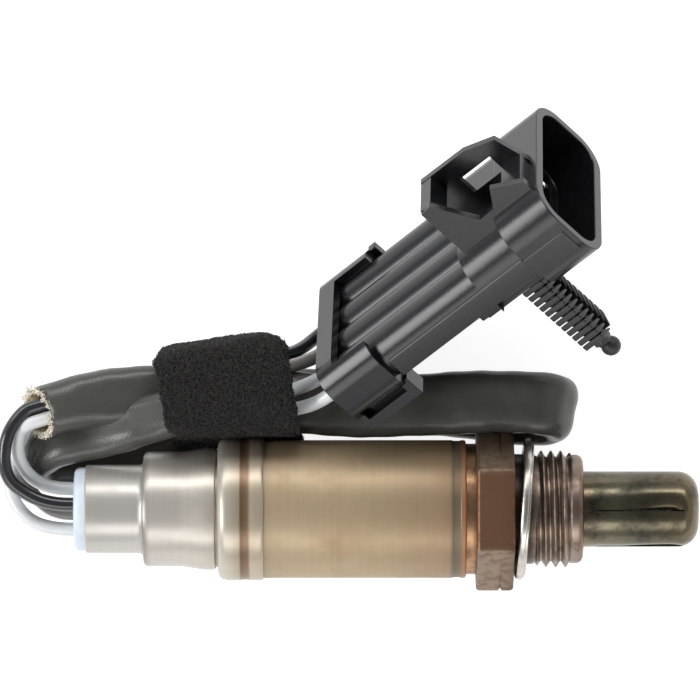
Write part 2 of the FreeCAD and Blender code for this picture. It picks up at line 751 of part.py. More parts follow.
def make_housing():
    """The moulded plug: four fused ways on a flat base, a waist, a shroud and a latch."""
    first_way = -mm.way_pitch * 1.5
    waist_top = mm.waist_lift + mm.waist_thickness / 2
    waist_bottom = mm.waist_thickness / 2 - mm.waist_lift
    ways = [rod("way_%d" % index, mm.way_diameter, mm.ways_end - mm.housing_start,
                mm.housing_start, first_way + mm.way_pitch * index) for index in range(4)]
    web = block("way_web", mm.housing_start, mm.ways_end, mm.way_pitch * 3,
                mm.way_diameter * 0.6)
    base = block("way_base", mm.lock_lip_length + 0.6, mm.ways_end, mm.base_width,
                 mm.base_thickness, 0, mm.base_thickness / 2 - waist_bottom)
    waist = rounded_along_x("waist_round",
                            block("waist", mm.ways_end, mm.shroud_start, mm.waist_width,
                                  mm.waist_thickness, 0, mm.waist_lift), mm.shroud_round)
    deep_cavity = rounded_along_x(
        "deep_cavity_round", block("deep_cavity", mm.mouth_at - mm.mouth_depth, mm.mouth_at,
                                   mm.inner_mouth_width, mm.inner_mouth_thickness),
        mm.shroud_round - mm.shroud_wall)
    seal_holes = [rod("seal_hole_%d" % index, mm.seal_diameter, mm.seal_length + 0.25,
                      mm.housing_start - 0.05, first_way + mm.way_pitch * index)
                  for index in range(4)]
    terminal_holes = [rod("terminal_hole_%d" % index, mm.terminal_bore,
                          mm.mouth_at - mm.mouth_depth + 1, 0,
                          first_way + mm.way_pitch * index) for index in range(4)]
    housing = cut("plug_moulding", fuse("moulding", web, base, waist, *ways), deep_cavity,
                  *(seal_holes + terminal_holes))
    finish_on_plug(housing, "plug_housing")

    shroud = rounded_along_x("shroud_outside", block("shroud", mm.shroud_start, mm.mouth_at,
                                                     mm.shroud_width, mm.shroud_thickness),
                             mm.shroud_round)
    cavity = rounded_along_x("cavity_round", block("cavity", mm.shroud_start + 1.2,
                                                   mm.mouth_at + 1,
                                                   mm.shroud_width - mm.shroud_wall * 2,
                                                   mm.shroud_thickness - mm.shroud_wall * 2),
                             mm.shroud_round - mm.shroud_wall)
    back_opening = block("back_opening", mm.shroud_start - 1, mm.shroud_start + 2,
                         mm.inner_mouth_width, mm.inner_mouth_thickness)
    finish_on_plug(cut("shroud_tube", shroud, cavity, back_opening), "plug_shroud")

    start = mm.latch_start
    shroud_top = mm.shroud_thickness / 2
    latch_base = waist_top - 2.6
    near_plate = plate("latch_near", [
        (start, latch_base), (start, mm.latch_top - 0.3), (start + 1.9, mm.latch_top),
        (start + 5.8, shroud_top + 1.2), (start + 8.6, shroud_top + 1.2),
        (start + 10.6, shroud_top + 4.2), (start + 15.2, shroud_top + 1.7),
        (start + 15.2, latch_base)], mm.latch_across - mm.latch_span / 2, mm.latch_plate)
    far_plate = plate("latch_far", [
        (start, latch_base), (start, mm.latch_top), (start + 8.6, mm.latch_top - 0.1),
        (start + 13.5, mm.latch_top - 1.7), (start + 14.9, shroud_top),
        (start + 14.9, latch_base)], mm.latch_across + mm.latch_span / 2, mm.latch_plate)
    window = block("latch_window", start + 4.9, start + 10.9, mm.latch_plate * 2, 3.2,
                   mm.latch_across + mm.latch_span / 2, mm.latch_top - 5.0)
    bar = block("latch_bar", start, start + 2.0, mm.latch_span, 3.6, mm.latch_across,
                mm.latch_top - 1.9)
    ramp = block("latch_ramp", start + 10.8, start + 14.6, mm.latch_span, 2.4,
                 mm.latch_across, shroud_top + 0.7)
    loop = fuse("latch_loop", near_plate, cut("latch_far_cut", far_plate, window), bar, ramp)
    seat = block("latch_seat", mm.ways_end, mm.shroud_start, mm.waist_width,
                 mm.waist_thickness, 0, mm.waist_lift)
    top_seat = block("latch_top_seat", mm.shroud_start, mm.mouth_at, mm.shroud_width,
                     mm.shroud_thickness)
    latch = cut("latch", loop, rounded_along_x("latch_seat_round", seat, mm.shroud_round),
                rounded_along_x("latch_top_seat_round", top_seat, mm.shroud_round))
    finish_on_plug(latch, "plug_latch")


def make_secondary_lock():
    """The clip over the back of the plug, with a wing down each narrow side and a lip."""
    ring = rounded_along_x("lock_ring_round", block("lock_ring", 0, mm.lock_ring_length,
                                                    mm.lock_width, mm.lock_thickness),
                           mm.shroud_round - 1)
    wings = []
    for side, name, width in ((-1, "near", mm.lock_near_wing), (1, "far", mm.lock_far_wing)):
        body = rounded_along_x("lock_wing_round_" + name,
                               block("lock_wing_" + name, 0, mm.lock_wing_length,
                                     mm.lock_width, mm.lock_thickness), mm.shroud_round - 1)
        middle = (mm.lock_width / 2 - width / 2) * side
        keep = block("lock_wing_keep_" + name, 0, mm.lock_wing_length, width,
                     mm.lock_thickness + 1, middle)
        wings.append(common("lock_wing_cut_" + name, body, keep))
    floor = block("lock_floor", 0, mm.lock_wing_length, mm.lock_width - mm.shroud_round * 2,
                  mm.lock_wall, 0, (mm.lock_wall - mm.lock_thickness) / 2)
    lip = block("lock_lip", 0, mm.lock_lip_length, mm.lock_lip_width, mm.lock_lip_drop * 2,
                (mm.lock_lip_width - mm.lock_width) / 2 + 1.2, -mm.lock_thickness / 2)
    room = rounded_along_x("lock_room_round",
                           block("lock_room", mm.lock_wall, mm.lock_lip_length + 1,
                                 mm.way_pitch * 3 + mm.way_diameter + mm.lock_play * 2,
                                 mm.way_diameter + mm.lock_play * 2),
                           mm.way_diameter / 2)
    holes = [rod("lock_hole_%d" % index, mm.wire_diameter + 0.3, mm.lock_wall * 3,
                 -mm.lock_wall, mm.way_pitch * (index - 1.5)) for index in range(4)]
    lock = cut("lock", fuse("lock_solid", ring, floor, lip, *wings), room, *holes)
    finish_on_plug(lock, "secondary_lock")


def make_plug_fittings():
    """The wire seals and the blades of the four ways."""
    barrel_at = mm.seal_length + mm.housing_start + 2.0
    for index in range(4):
        across = mm.way_pitch * (index - 1.5)
        number = index + 1
        seal = cut("seal_%d" % number,
                   rod("seal_body_%d" % number, mm.seal_diameter, mm.seal_length, mm.housing_start,
                       across),
                   rod("seal_bore_%d" % number, mm.wire_diameter + mm.wire_hole_play * 2,
                       mm.seal_length + 2, mm.housing_start - 1, across))
        finish_on_plug(seal, "wire_seal_%d" % number)
        barrel = cut("terminal_barrel_%d" % number,
                     rod("terminal_body_%d" % number, mm.terminal_bore - 0.05,
                         mm.crimp_barrel_length, barrel_at, across),
                     rod("terminal_wire_hole_%d" % number, mm.wire_diameter + mm.wire_hole_play,
                         mm.crimp_barrel_length - 1, barrel_at - 0.1, across))
        blade = block("terminal_blade_%d" % number, barrel_at + mm.crimp_barrel_length - 0.5,
                      mm.blade_reach, mm.blade_width, mm.blade_thickness, across)
        finish_on_plug(fuse("terminal_joined_%d" % number, barrel, blade),
                       "blade_terminal_%d" % number)


def make_tree_clip():
    """The ribbed push-in clip that fixes the plug to a panel."""
    plate_top = mm.waist_thickness / 2 - mm.waist_lift
    base = block("clip_base", mm.clip_along - 8.4, mm.clip_along + 2.6, mm.clip_width, mm.clip_plate,
                 mm.clip_across, -plate_top - mm.clip_plate / 2)
    rib_start = plate_top + mm.clip_plate + mm.clip_root_gap
    stem_length = mm.clip_root_gap + mm.clip_rib_pitch * mm.clip_rib_count
    stem = block("clip_stem_solid", mm.clip_along - mm.clip_stem / 2, mm.clip_along + mm.clip_stem / 2,
                 mm.clip_stem, stem_length, mm.clip_across,
                 -plate_top - mm.clip_plate - stem_length / 2)
    ribs = []
    for index in range(int(mm.clip_rib_count.value)):
        rib = block("clip_rib_%d" % index, mm.clip_along - mm.clip_depth / 2,
                    mm.clip_along + mm.clip_depth / 2, mm.clip_width, mm.clip_rib_thickness, mm.clip_across,
                    -rib_start - mm.clip_rib_pitch * index)
        ribs.append(rib)
    knob = doc.addObject("Part::Sphere", "clip_knob")
    bind(knob, "Radius", mm.clip_stem * 0.58)
    place(knob, mm.clip_along, mm.clip_across, -plate_top - mm.clip_plate - stem_length
          - mm.clip_stem * 0.3)
    finish_on_plug(fuse("tree_clip_solid", base, stem, knob, *ribs), "tree_clip")


make_shell()
make_rear_cap()
make_sleeve()
make_tip()
make_sealing_ring()
make_grommet()
stack_start, stack_end = make_inner_stack()
make_contacts(stack_start, stack_end)
make_lead()
make_strap()
make_housing()
make_secondary_lock()
make_plug_fittings()
make_tree_clip()
doc.recompute()

faults = []
for thing in doc.Objects:
    if "Invalid" in thing.State or "Error" in thing.State:
        faults.append("%s did not compute" % thing.Name)
for piece in pieces:
    if piece.Shape.isNull() or not piece.Shape.isValid() or not piece.Shape.Solids:
        faults.append("%s has no valid solid" % piece.Label)
if faults:
    raise SystemExit("; ".join(faults))

os.makedirs("parts", exist_ok=True)
for piece in pieces:
    piece.Shape.exportStep("parts/%s.step" % piece.Label)
print("%d pieces" % len(pieces))
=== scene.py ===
import math
import random

import bmesh
import bpy
from mathutils import Matrix, Vector


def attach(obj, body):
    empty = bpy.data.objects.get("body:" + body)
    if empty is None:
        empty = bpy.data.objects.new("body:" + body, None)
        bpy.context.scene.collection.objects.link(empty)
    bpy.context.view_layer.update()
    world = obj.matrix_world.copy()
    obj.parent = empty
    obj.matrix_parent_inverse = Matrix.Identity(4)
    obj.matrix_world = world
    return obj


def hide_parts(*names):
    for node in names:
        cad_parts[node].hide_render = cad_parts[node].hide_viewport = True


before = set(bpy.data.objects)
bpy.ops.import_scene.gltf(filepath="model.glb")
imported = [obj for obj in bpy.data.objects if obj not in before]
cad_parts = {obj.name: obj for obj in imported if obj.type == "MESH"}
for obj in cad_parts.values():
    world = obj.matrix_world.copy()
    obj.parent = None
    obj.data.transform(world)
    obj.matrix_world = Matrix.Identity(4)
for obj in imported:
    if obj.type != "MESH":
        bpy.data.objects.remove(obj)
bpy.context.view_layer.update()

# The floor, the soft lamps and the camera.
# The part lies on a pale table and is photographed from straight above with a long lens,
# in a bright tent whose open top leaves a darker band along each round surface.
scene = bpy.context.scene
scene.view_settings.view_transform = "Standard"
TABLE_HALF = 3.0
TABLE_GREY = 170
TABLE_GLOW = 0.88
SKY = 0.64
ZENITH = 0.18
SKY_ENDS, ZENITH_STARTS = 0.60, 0.84
SOFT_BOXES = [("upper_box", (-0.05, 0.66, 0.46), (0, 0.02, 0), 1.2, 0.2, 4.0),
              ("lower_box", (0.0, -0.62, 0.48), (0, 0, 0), 1.1, 0.34, 3.0),
              ("left_box", (-0.72, -0.08, 0.50), (0, 0.03, 0), 0.55, 0.3, 4.6)]
CAMERA_PLACE = (-0.00563, 0.02446, 0.9085)


def paint(red, green, blue):
    """A display colour, 0 to 255, as the linear colour that a shader takes."""
    def channel(value):
        value = value / 255
        return value / 12.92 if value <= 0.04045 else ((value + 0.055) / 1.055) ** 2.4
    return (channel(red), channel(green), channel(blue), 1.0)


def new_material(name):
    """An empty node material, and a handle that adds and links nodes in it."""
    material = bpy.data.materials.new(name)
    material.use_nodes = True
    material.node_tree.nodes.clear()
    return material, Nodes(material.node_tree)


class Nodes:
    """Adds nodes to one tree and links them by socket name."""

    def __init__(self, tree):
        self.tree = tree

    def add(self, kind, values=None, **settings):
        node = self.tree.nodes.new(kind)
        for key, value in settings.items():
            setattr(node, key, value)
        for key, value in (values or {}).items():
            self.feed(node.inputs[key], value)
        return node

    def feed(self, socket, value):
        if isinstance(value, bpy.types.NodeSocket):
            self.tree.links.new(value, socket)
        else:
            socket.default_value = value

    def math(self, operation, *values):
        node = self.add("ShaderNodeMath", operation=operation)
        for socket, value in zip(node.inputs, values):
            self.feed(socket, value)
        return node.outputs[0]

    def ramp(self, value, stops):
        """A colour ramp from (position, colour) stops."""
        node = self.add("ShaderNodeValToRGB", {"Fac": value})
        elements = node.color_ramp.elements
        while len(elements) > 1:
            elements.remove(elements[-1])
        elements[0].position, elements[0].color = stops[0]
        for position, colour in stops[1:]:
            elements.new(position).color = colour
        return node.outputs["Color"]

    def mix(self, factor, first, second, blend="MIX"):
        node = self.add("ShaderNodeMix", data_type="RGBA", blend_type=blend)
        self.feed(node.inputs[0], factor)
        self.feed(node.inputs[6], first)
        self.feed(node.inputs[7], second)
        return node.outputs[2]

    def place(self):
        """Where a point is on its object, which is where it is in the part."""
        return self.add("ShaderNodeTexCoord").outputs["Object"]

    def surface(self, values):
        """The material's surface, from a principled shader's inputs."""
        shader = self.add("ShaderNodeBsdfPrincipled", values)
        self.add("ShaderNodeOutputMaterial", {"Surface": shader.outputs[0]})


def placed(name, data):
    """A new object in the scene."""
    thing = bpy.data.objects.new(name, data)
    scene.collection.objects.link(thing)
    return thing


def mesh_of(name, bm):
    """A mesh made of a bmesh, which is freed."""
    mesh = bpy.data.meshes.new(name)
    bm.to_mesh(mesh)
    bm.free()
    return mesh


floor_material, tree = new_material("pale_table")
light_path = tree.add("ShaderNodeLightPath")
seen = tree.math("MAXIMUM", light_path.outputs["Is Camera Ray"],
                 light_path.outputs["Is Glossy Ray"])
tree.surface({
    "Base Color": paint(TABLE_GREY, TABLE_GREY, TABLE_GREY), "Roughness": 0.9,
    "Emission Color": (1.0, 1.0, 1.0, 1.0),
    "Emission Strength": tree.math("MULTIPLY", seen, TABLE_GLOW)})
bm = bmesh.new()
bmesh.ops.create_grid(bm, x_segments=1, y_segments=1, size=TABLE_HALF)
floor = placed("table_top", mesh_of("table_top", bm))
floor.data.materials.append(floor_material)

world = bpy.data.worlds.new("studio")
world.use_nodes = True
scene.world = world
tree = Nodes(world.node_tree)
height = tree.add("ShaderNodeSeparateXYZ", {
    "Vector": tree.add("ShaderNodeTexCoord").outputs["Generated"]}).outputs["Z"]
dimmed = tree.add("ShaderNodeMapRange", {
    "Value": height, "From Min": SKY_ENDS, "From Max": ZENITH_STARTS, "To Min": SKY,
    "To Max": ZENITH}, interpolation_type="SMOOTHSTEP")
backdrop = world.node_tree.nodes["Background"]
backdrop.inputs["Color"].default_value = (0.97, 0.985, 1.0, 1.0)
tree.feed(backdrop.inputs["Strength"], dimmed.outputs[0])


def soft_box(name, place, aim, width, height, power):
    """A rectangular lamp that faces a point."""
    lamp = bpy.data.lights.new(name, "AREA")
    lamp.shape = "RECTANGLE"
    lamp.size = width
    lamp.size_y = height
    lamp.energy = power
    holder = placed(name, lamp)
    holder.location = place
    holder.rotation_euler = (Vector(aim) - Vector(place)).to_track_quat("-Z", "Y").to_euler()


for box in SOFT_BOXES:
    soft_box(*box)

camera_data = bpy.data.cameras.new("camera")
camera_data.lens = 300
camera_data.sensor_width = 36
camera = placed("camera", camera_data)
camera.location = CAMERA_PLACE
scene.camera = camera

# The threaded shell, turned from steel bar, with its hexagon and its exhaust thread.
# The hexagon's flats that face straight up and down are a darker reddish brown, painted shade
# for the flat that faces the camera, and the undercut between the hexagon and the thread is
# painted dark, as painted shade under the hanging sealing ring.
AXIS = Vector((0.0, 0.0, 0.011))
REAR = -0.048
ACROSS_FLATS = 0.022
HEXAGON_MIDDLE, HEXAGON_LENGTH = 64.6, 0.0058
HEXAGON_EASE = 0.00055
NICK, NICK_HALF = 65.4, 0.3
NICK_DEPTH, NICK_BEYOND = 0.0004, 0.0122
PITCH, TURNS, STEPS_PER_TURN = 1.5, 4, 96
RIDGE_START = 69.5
THREAD_ROOT, THREAD_HEIGHT = 7.9, 1.1
THREAD_FROM, THREAD_TO, RUN_OUT = 70.5, 76.7, 1.4


def spun(points, steps=128, upward=False):
    """A bmesh turned about the probe's axis from (millimetres from the rear, radius).

    It starts level with the axis, or straight above it."""
    bm = bmesh.new()
    ring = [bm.verts.new((REAR + along / 1000, 0, AXIS.z + radius / 1000) if upward else
                         (REAR + along / 1000, radius / 1000, AXIS.z))
            for along, radius in points]
    edges = [bm.edges.new(pair) for pair in zip(ring, ring[1:])]
    bmesh.ops.spin(bm, geom=ring + edges, cent=AXIS, axis=(1, 0, 0), angle=math.tau,
                   steps=steps, use_merge=True, use_duplicate=False)
    bmesh.ops.remove_doubles(bm, verts=bm.verts, dist=1e-7)
    bmesh.ops.recalc_face_normals(bm, faces=bm.faces)
    return bm


def soften(bm, width, angle=25, segments=3):
    """Bevels the edges that turn by more than an angle."""
    edges = [edge for edge in bm.edges if len(edge.link_faces) == 2
             and edge.calc_face_angle(0) > math.radians(angle)]
    bmesh.ops.bevel(bm, geom=edges, offset=width, segments=segments, affect="EDGES",
                    profile=0.5, material=-1, clamp_overlap=True)
    return bm


def even(thing):
    """Takes each corner's shading from its largest face, so that flats stay flat."""
    shading = thing.modifiers.new("even shading", "WEIGHTED_NORMAL")
    shading.keep_sharp = True
    shading.weight = 100


def piece(name, bm, material, slot, *nodes, sharp=35):
    """Makes an object of a bmesh, finished, riding with the part and standing for nodes."""
    mesh = mesh_of(name, bm)
    mesh.materials.append(material)
    mesh.shade_smooth()
    mesh.set_sharp_from_angle(angle=math.radians(sharp))
    thing = placed(name, mesh)
    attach(thing, "root")
    if nodes:
        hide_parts(*nodes)
    return thing


def group(name, inputs, outputs):
    """A shader node group with named sockets, and its input and output nodes."""
    tree = bpy.data.node_groups.new(name, "ShaderNodeTree")
    for label, kind, value in inputs:
        socket = tree.interface.new_socket(label, in_out="INPUT", socket_type=kind)
        if value is not None:
            socket.default_value = value
    for label, kind in outputs:
        tree.interface.new_socket(label, in_out="OUTPUT", socket_type=kind)
    nodes = Nodes(tree)
    return tree, nodes, nodes.add("NodeGroupInput"), nodes.add("NodeGroupOutput")


# Turning marks: fine rings round the probe, as a height and as a faint change of tone.
ROUND_SCALE = 60.0
MARK_HEIGHT = 0.00006
turning_marks, marks, given, result = group(
    "turning_marks", [("Fineness", "NodeSocketFloat", 4000.0), ("Depth", "NodeSocketFloat", 0.3)],
    [("Normal", "NodeSocketVector"), ("Tone", "NodeSocketFloat")])
split = marks.add("ShaderNodeSeparateXYZ", {"Vector": marks.place()})
stretched = marks.add("ShaderNodeCombineXYZ", {
    "X": marks.math("MULTIPLY", split.outputs["X"], given.outputs["Fineness"]),
    "Y": marks.math("MULTIPLY", split.outputs["Y"], ROUND_SCALE),
    "Z": marks.math("MULTIPLY", split.outputs["Z"], ROUND_SCALE)})
rings = marks.add("ShaderNodeTexNoise", {"Vector": stretched.outputs[0], "Scale": 1.0,
                                         "Detail": 3.0, "Roughness": 0.6})
bump = marks.add("ShaderNodeBump", {"Strength": given.outputs["Depth"],
                                    "Distance": MARK_HEIGHT, "Height": rings.outputs["Fac"]})
marks.feed(result.inputs["Normal"], bump.outputs["Normal"])
marks.feed(result.inputs["Tone"], rings.outputs["Fac"])

# Stains: soft-edged patches for heat tints and handling marks, and a fine even grit.
STAIN_FROM, STAIN_TO, COVER_SHIFT = 0.72, 0.92, 0.44
GRIT_SCALE = 9000.0
stains, marks, given, result = group(
    "stains", [("Size", "NodeSocketFloat", 200.0), ("Cover", "NodeSocketFloat", 0.5)],
    [("Mask", "NodeSocketFloat"), ("Grit", "NodeSocketFloat")])
place = marks.place()
patches = marks.add("ShaderNodeTexNoise", {"Vector": place, "Scale": given.outputs["Size"],
                                           "Detail": 5.0, "Roughness": 0.62})
lowered = marks.math("MULTIPLY", given.outputs["Cover"], COVER_SHIFT)
edge = marks.add("ShaderNodeMapRange", {
    "Value": patches.outputs["Fac"], "From Min": marks.math("SUBTRACT", STAIN_FROM, lowered),
    "From Max": marks.math("SUBTRACT", STAIN_TO, lowered)})
grit = marks.add("ShaderNodeTexNoise", {"Vector": place, "Scale": GRIT_SCALE, "Detail": 2.0})
marks.feed(result.inputs["Mask"], edge.outputs[0])
marks.feed(result.inputs["Grit"], grit.outputs["Fac"])


# Painted shade on the hexagon's upward flats: where it fades in, where it is full, its strength.
FACE_UP_SHADE_EDGE, FACE_UP_SHADE_INSIDE, FACE_UP_SHADE_STRENGTH = 0.0062, 0.0054, 0.85
GRIT_TONE = 0.9
DARK_STREAK, LIGHT_STREAK = 0.88, 1.09
STAIN_ROUGHNESS, GRIT_ROUGHNESS = 0.12, 0.25


def along_probe(tree, start, end):
    """How far along the probe a point is, from 0 at one station to 1 at another, in mm."""
    split = tree.add("ShaderNodeSeparateXYZ", {"Vector": tree.place()})
    return tree.add("ShaderNodeMapRange", {
        "Value": split.outputs["X"], "From Min": REAR + start / 1000,
        "From Max": REAR + end / 1000}).outputs[0]


def probe_metal(name, start, end, stops, stain, rough=0.3, fineness=4000.0, depth=0.3,
                stain_size=200.0, cover=0.5, stain_strength=0.6, metallic=1.0, face_up_shade=None):
    """Turned or drawn steel with tints along its length, stains and turning marks.

    Each stop is a share of the length and a display colour. The face tint, if given, is a darker
    colour painted on the flats that face straight up and down, as painted shade for the flat that
    faces the camera."""
    material, tree = new_material(name)
    turned = tree.add("ShaderNodeGroup", {"Fineness": fineness, "Depth": depth},
                      node_tree=turning_marks)
    stained = tree.add("ShaderNodeGroup", {"Size": stain_size, "Cover": cover},
                       node_tree=stains)
    tint = tree.ramp(along_probe(tree, start, end),
                     [(share, paint(*colour)) for share, *colour in stops])
    # Painted shade: a darker reddish brown on the flats that face straight up and down.
    if face_up_shade:
        split = tree.add("ShaderNodeSeparateXYZ", {"Vector": tree.place()})
        aside = tree.math("ABSOLUTE", split.outputs["Y"])
        upper = tree.add("ShaderNodeMapRange", {"Value": aside, "From Min": FACE_UP_SHADE_EDGE,
                                                "From Max": FACE_UP_SHADE_INSIDE})
        tint = tree.mix(tree.math("MULTIPLY", upper.outputs[0], FACE_UP_SHADE_STRENGTH), tint,
                        paint(*face_up_shade))
    colour = tree.mix(tree.math("MULTIPLY", stained.outputs["Mask"], stain_strength), tint,
                      paint(*stain))
    streaked = tree.math("ADD", turned.outputs["Tone"], tree.math(
        "MULTIPLY", tree.math("SUBTRACT", stained.outputs["Grit"], 0.5), GRIT_TONE))
    tone = tree.add("ShaderNodeMapRange", {"Value": streaked, "To Min": DARK_STREAK,
                                           "To Max": LIGHT_STREAK})
    shade = tree.add("ShaderNodeCombineColor", {"Red": tone.outputs[0], "Green": tone.outputs[0],
                                                "Blue": tone.outputs[0]})
    colour = tree.mix(1.0, colour, shade.outputs[0], "MULTIPLY")
    roughness = tree.math("ADD", rough, tree.math(
        "MULTIPLY", stained.outputs["Mask"], STAIN_ROUGHNESS))
    roughness = tree.math("ADD", roughness, tree.math(
        "MULTIPLY", tree.math("SUBTRACT", stained.outputs["Grit"], 0.5), GRIT_ROUGHNESS))
    tree.surface({"Base Color": colour, "Roughness": roughness, "Metallic": metallic,
                  "Normal": turned.outputs["Normal"]})
    return material


# The hexagon's flat that faces the camera gets a darker reddish brown as painted shade.
hexagon_steel = probe_metal(
    "hexagon_steel", 61.7, 67.5,
    [(0.0, 134, 118, 102), (0.25, 140, 122, 104), (0.7, 132, 112, 94), (1.0, 116, 98, 82)],
    (98, 70, 52), rough=0.46, fineness=2500.0, depth=0.25, stain_size=700.0, cover=0.6,
    metallic=0.8, face_up_shade=(120, 84, 62))
thread_steel = probe_metal(
    "thread_steel", 57.2, 78.2,
    # The stops from 0.49 to 0.61 paint the undercut under the sealing ring dark, as painted
    # shade.
    [(0.0, 176, 138, 106), (0.24, 166, 130, 100), (0.49, 60, 54, 50), (0.61, 66, 58, 54),
     (0.66, 150, 136, 124), (0.92, 146, 130, 118), (1.0, 128, 106, 94)],
    (84, 66, 54), rough=0.36, fineness=3000.0, depth=0.2, stain_size=500.0, cover=0.6)

corner_radius = ACROSS_FLATS / math.sqrt(3)
bm = bmesh.new()
bmesh.ops.create_cone(bm, cap_ends=True, segments=6, radius1=corner_radius,
                      radius2=corner_radius, depth=HEXAGON_LENGTH)
bmesh.ops.transform(
    bm, verts=bm.verts, matrix=Matrix.Translation((REAR + HEXAGON_MIDDLE / 1000, 0, AXIS.z))
    @ Matrix.Rotation(math.pi / 2, 4, "Y"))
soften(bm, HEXAGON_EASE, angle=50, segments=4)
for station in (NICK - NICK_HALF, NICK, NICK + NICK_HALF):
    bmesh.ops.bisect_plane(bm, geom=list(bm.verts) + list(bm.edges) + list(bm.faces),
                           plane_co=(REAR + station / 1000, 0, 0), plane_no=(1, 0, 0))
for vertex in bm.verts:
    if abs(vertex.co.x - REAR - NICK / 1000) < 1e-6 and abs(vertex.co.y) > NICK_BEYOND:
        vertex.co.y -= math.copysign(NICK_DEPTH, vertex.co.y)
even(piece("spanner_hexagon", bm, hexagon_steel, "shell_steel"))

core = spun([(57.2, 10.05), (61.9, 10.05), (61.9, 9.0), (67.4, 9.0), (67.4, 8.45), (70.4, 8.45),
             (71.2, 8.05), (75.8, 8.05), (76.3, 8.35), (77.2, 8.35), (77.8, 8.1), (78.1, 7.5),
             (78.1, 5.9), (76.6, 5.9), (76.6, 6.4), (57.2, 6.4), (57.2, 10.05)])
soften(core, 0.00012, angle=30)
piece("shell_core", core, thread_steel, "shell_steel", "threaded_shell")

bm = bmesh.new()
ridge = [bm.verts.new((REAR + (RIDGE_START + along) / 1000, radius / 1000, AXIS.z))
         for along, radius in ((0.0, 7.95), (0.1, 8.05), (0.62, 8.9), (0.7, 8.98), (0.8, 8.98),
                               (0.88, 8.9), (1.4, 8.05), (1.5, 7.95))]
ridge_edges = [bm.edges.new(pair) for pair in zip(ridge, ridge[1:])]
wound = bmesh.ops.spin(bm, geom=ridge + ridge_edges, cent=AXIS, axis=(1, 0, 0),
                       angle=math.tau * TURNS, dvec=(PITCH / 1000 / STEPS_PER_TURN, 0, 0),
                       steps=STEPS_PER_TURN * TURNS, use_duplicate=False)
bm.faces.new(ridge)
bm.faces.new([item for item in wound["geom_last"] if isinstance(item, bmesh.types.BMVert)])
for vertex in bm.verts:
    station = (vertex.co.x - REAR) * 1000
    out = Vector((0, vertex.co.y, vertex.co.z - AXIS.z))
    limit = THREAD_ROOT + min(max((station - THREAD_FROM) * RUN_OUT, 0), THREAD_HEIGHT,
                              max((THREAD_TO - station) * RUN_OUT, 0))
    if out.length * 1000 > limit:
        vertex.co -= out * (1 - limit / 1000 / out.length)
bmesh.ops.recalc_face_normals(bm, faces=bm.faces)
piece("thread_ridge", bm, thread_steel, "shell_steel", sharp=60)

# The plain sleeve tube, crimped and welded between the cap and the shell.
# It is thin stainless steel, tinted straw to bronze by heat, with a dark weld near the
# shell and a coppery end beyond it.
sleeve_steel = probe_metal(
    "sleeve_steel", 29.1, 60.2,
    [(0.0, 158, 142, 118), (0.06, 170, 151, 122), (0.35, 173, 153, 124),
     (0.62, 166, 146, 116), (0.85, 158, 134, 106), (0.915, 150, 126, 100),
     (0.935, 104, 92, 74), (0.97, 114, 100, 80), (0.984, 162, 112, 78), (1.0, 152, 102, 68)],
    (150, 122, 90), rough=0.46, fineness=5200.0, depth=0.3, stain_size=90.0, cover=0.6,
    stain_strength=0.5, metallic=0.5)
sleeve = spun([(23.7, 10.1), (23.7, 10.6), (58.0, 10.6), (58.25, 10.5), (59.25, 10.5),
               (59.4, 10.6), (59.95, 10.6), (60.15, 10.4), (60.15, 10.08)])
soften(sleeve, 0.0001, angle=20)
piece("sleeve_tube", sleeve, sleeve_steel, "sleeve_steel", "probe_sleeve")

# The rear cap, deep-drawn from bright stainless sheet in one piece.
# A crimp grips the grommet, the barrel flares towards the collar, and the collar is laser
# welded to the sleeve round a narrow brown ring.
cap_steel = probe_metal(
    "cap_steel", 1.75, 29.1,
    [(0.0, 184, 180, 174), (0.30, 188, 184, 178), (0.335, 140, 136, 132),
     (0.37, 190, 184, 176), (0.62, 190, 184, 174), (0.74, 186, 179, 167),
     (0.80, 186, 178, 164), (0.865, 172, 156, 136), (0.875, 112, 88, 66),
     (0.915, 128, 102, 78), (0.93, 178, 165, 146), (1.0, 180, 166, 146)],
    (176, 168, 158), rough=0.33, fineness=6000.0, depth=0.16, stain_size=120.0,
    cover=0.45, stain_strength=0.4, metallic=0.5)
cap = spun([(1.75, 6.45), (1.75, 6.62), (1.95, 6.8), (2.6, 6.78), (9.6, 6.8), (10.25, 6.86),
            (10.55, 7.1), (10.62, 8.1), (10.8, 8.55), (11.3, 8.8), (11.9, 8.82), (16.2, 8.8),
            (16.8, 8.84), (19.6, 9.3), (20.4, 9.36), (21.3, 9.35), (21.62, 9.25), (21.78, 9.0),
            (21.86, 8.85), (21.95, 8.85), (22.05, 9.1), (22.12, 9.9), (22.35, 10.42),
            (22.8, 10.8), (23.5, 10.94), (24.3, 10.95), (25.6, 10.93), (25.8, 10.86),
            (26.7, 10.86), (26.9, 10.93), (28.5, 10.95), (28.95, 10.9), (29.1, 10.76),
            (29.1, 10.6)])
piece("drawn_cap", cap, cap_steel, "cap_steel", "rear_cap", sharp=40)

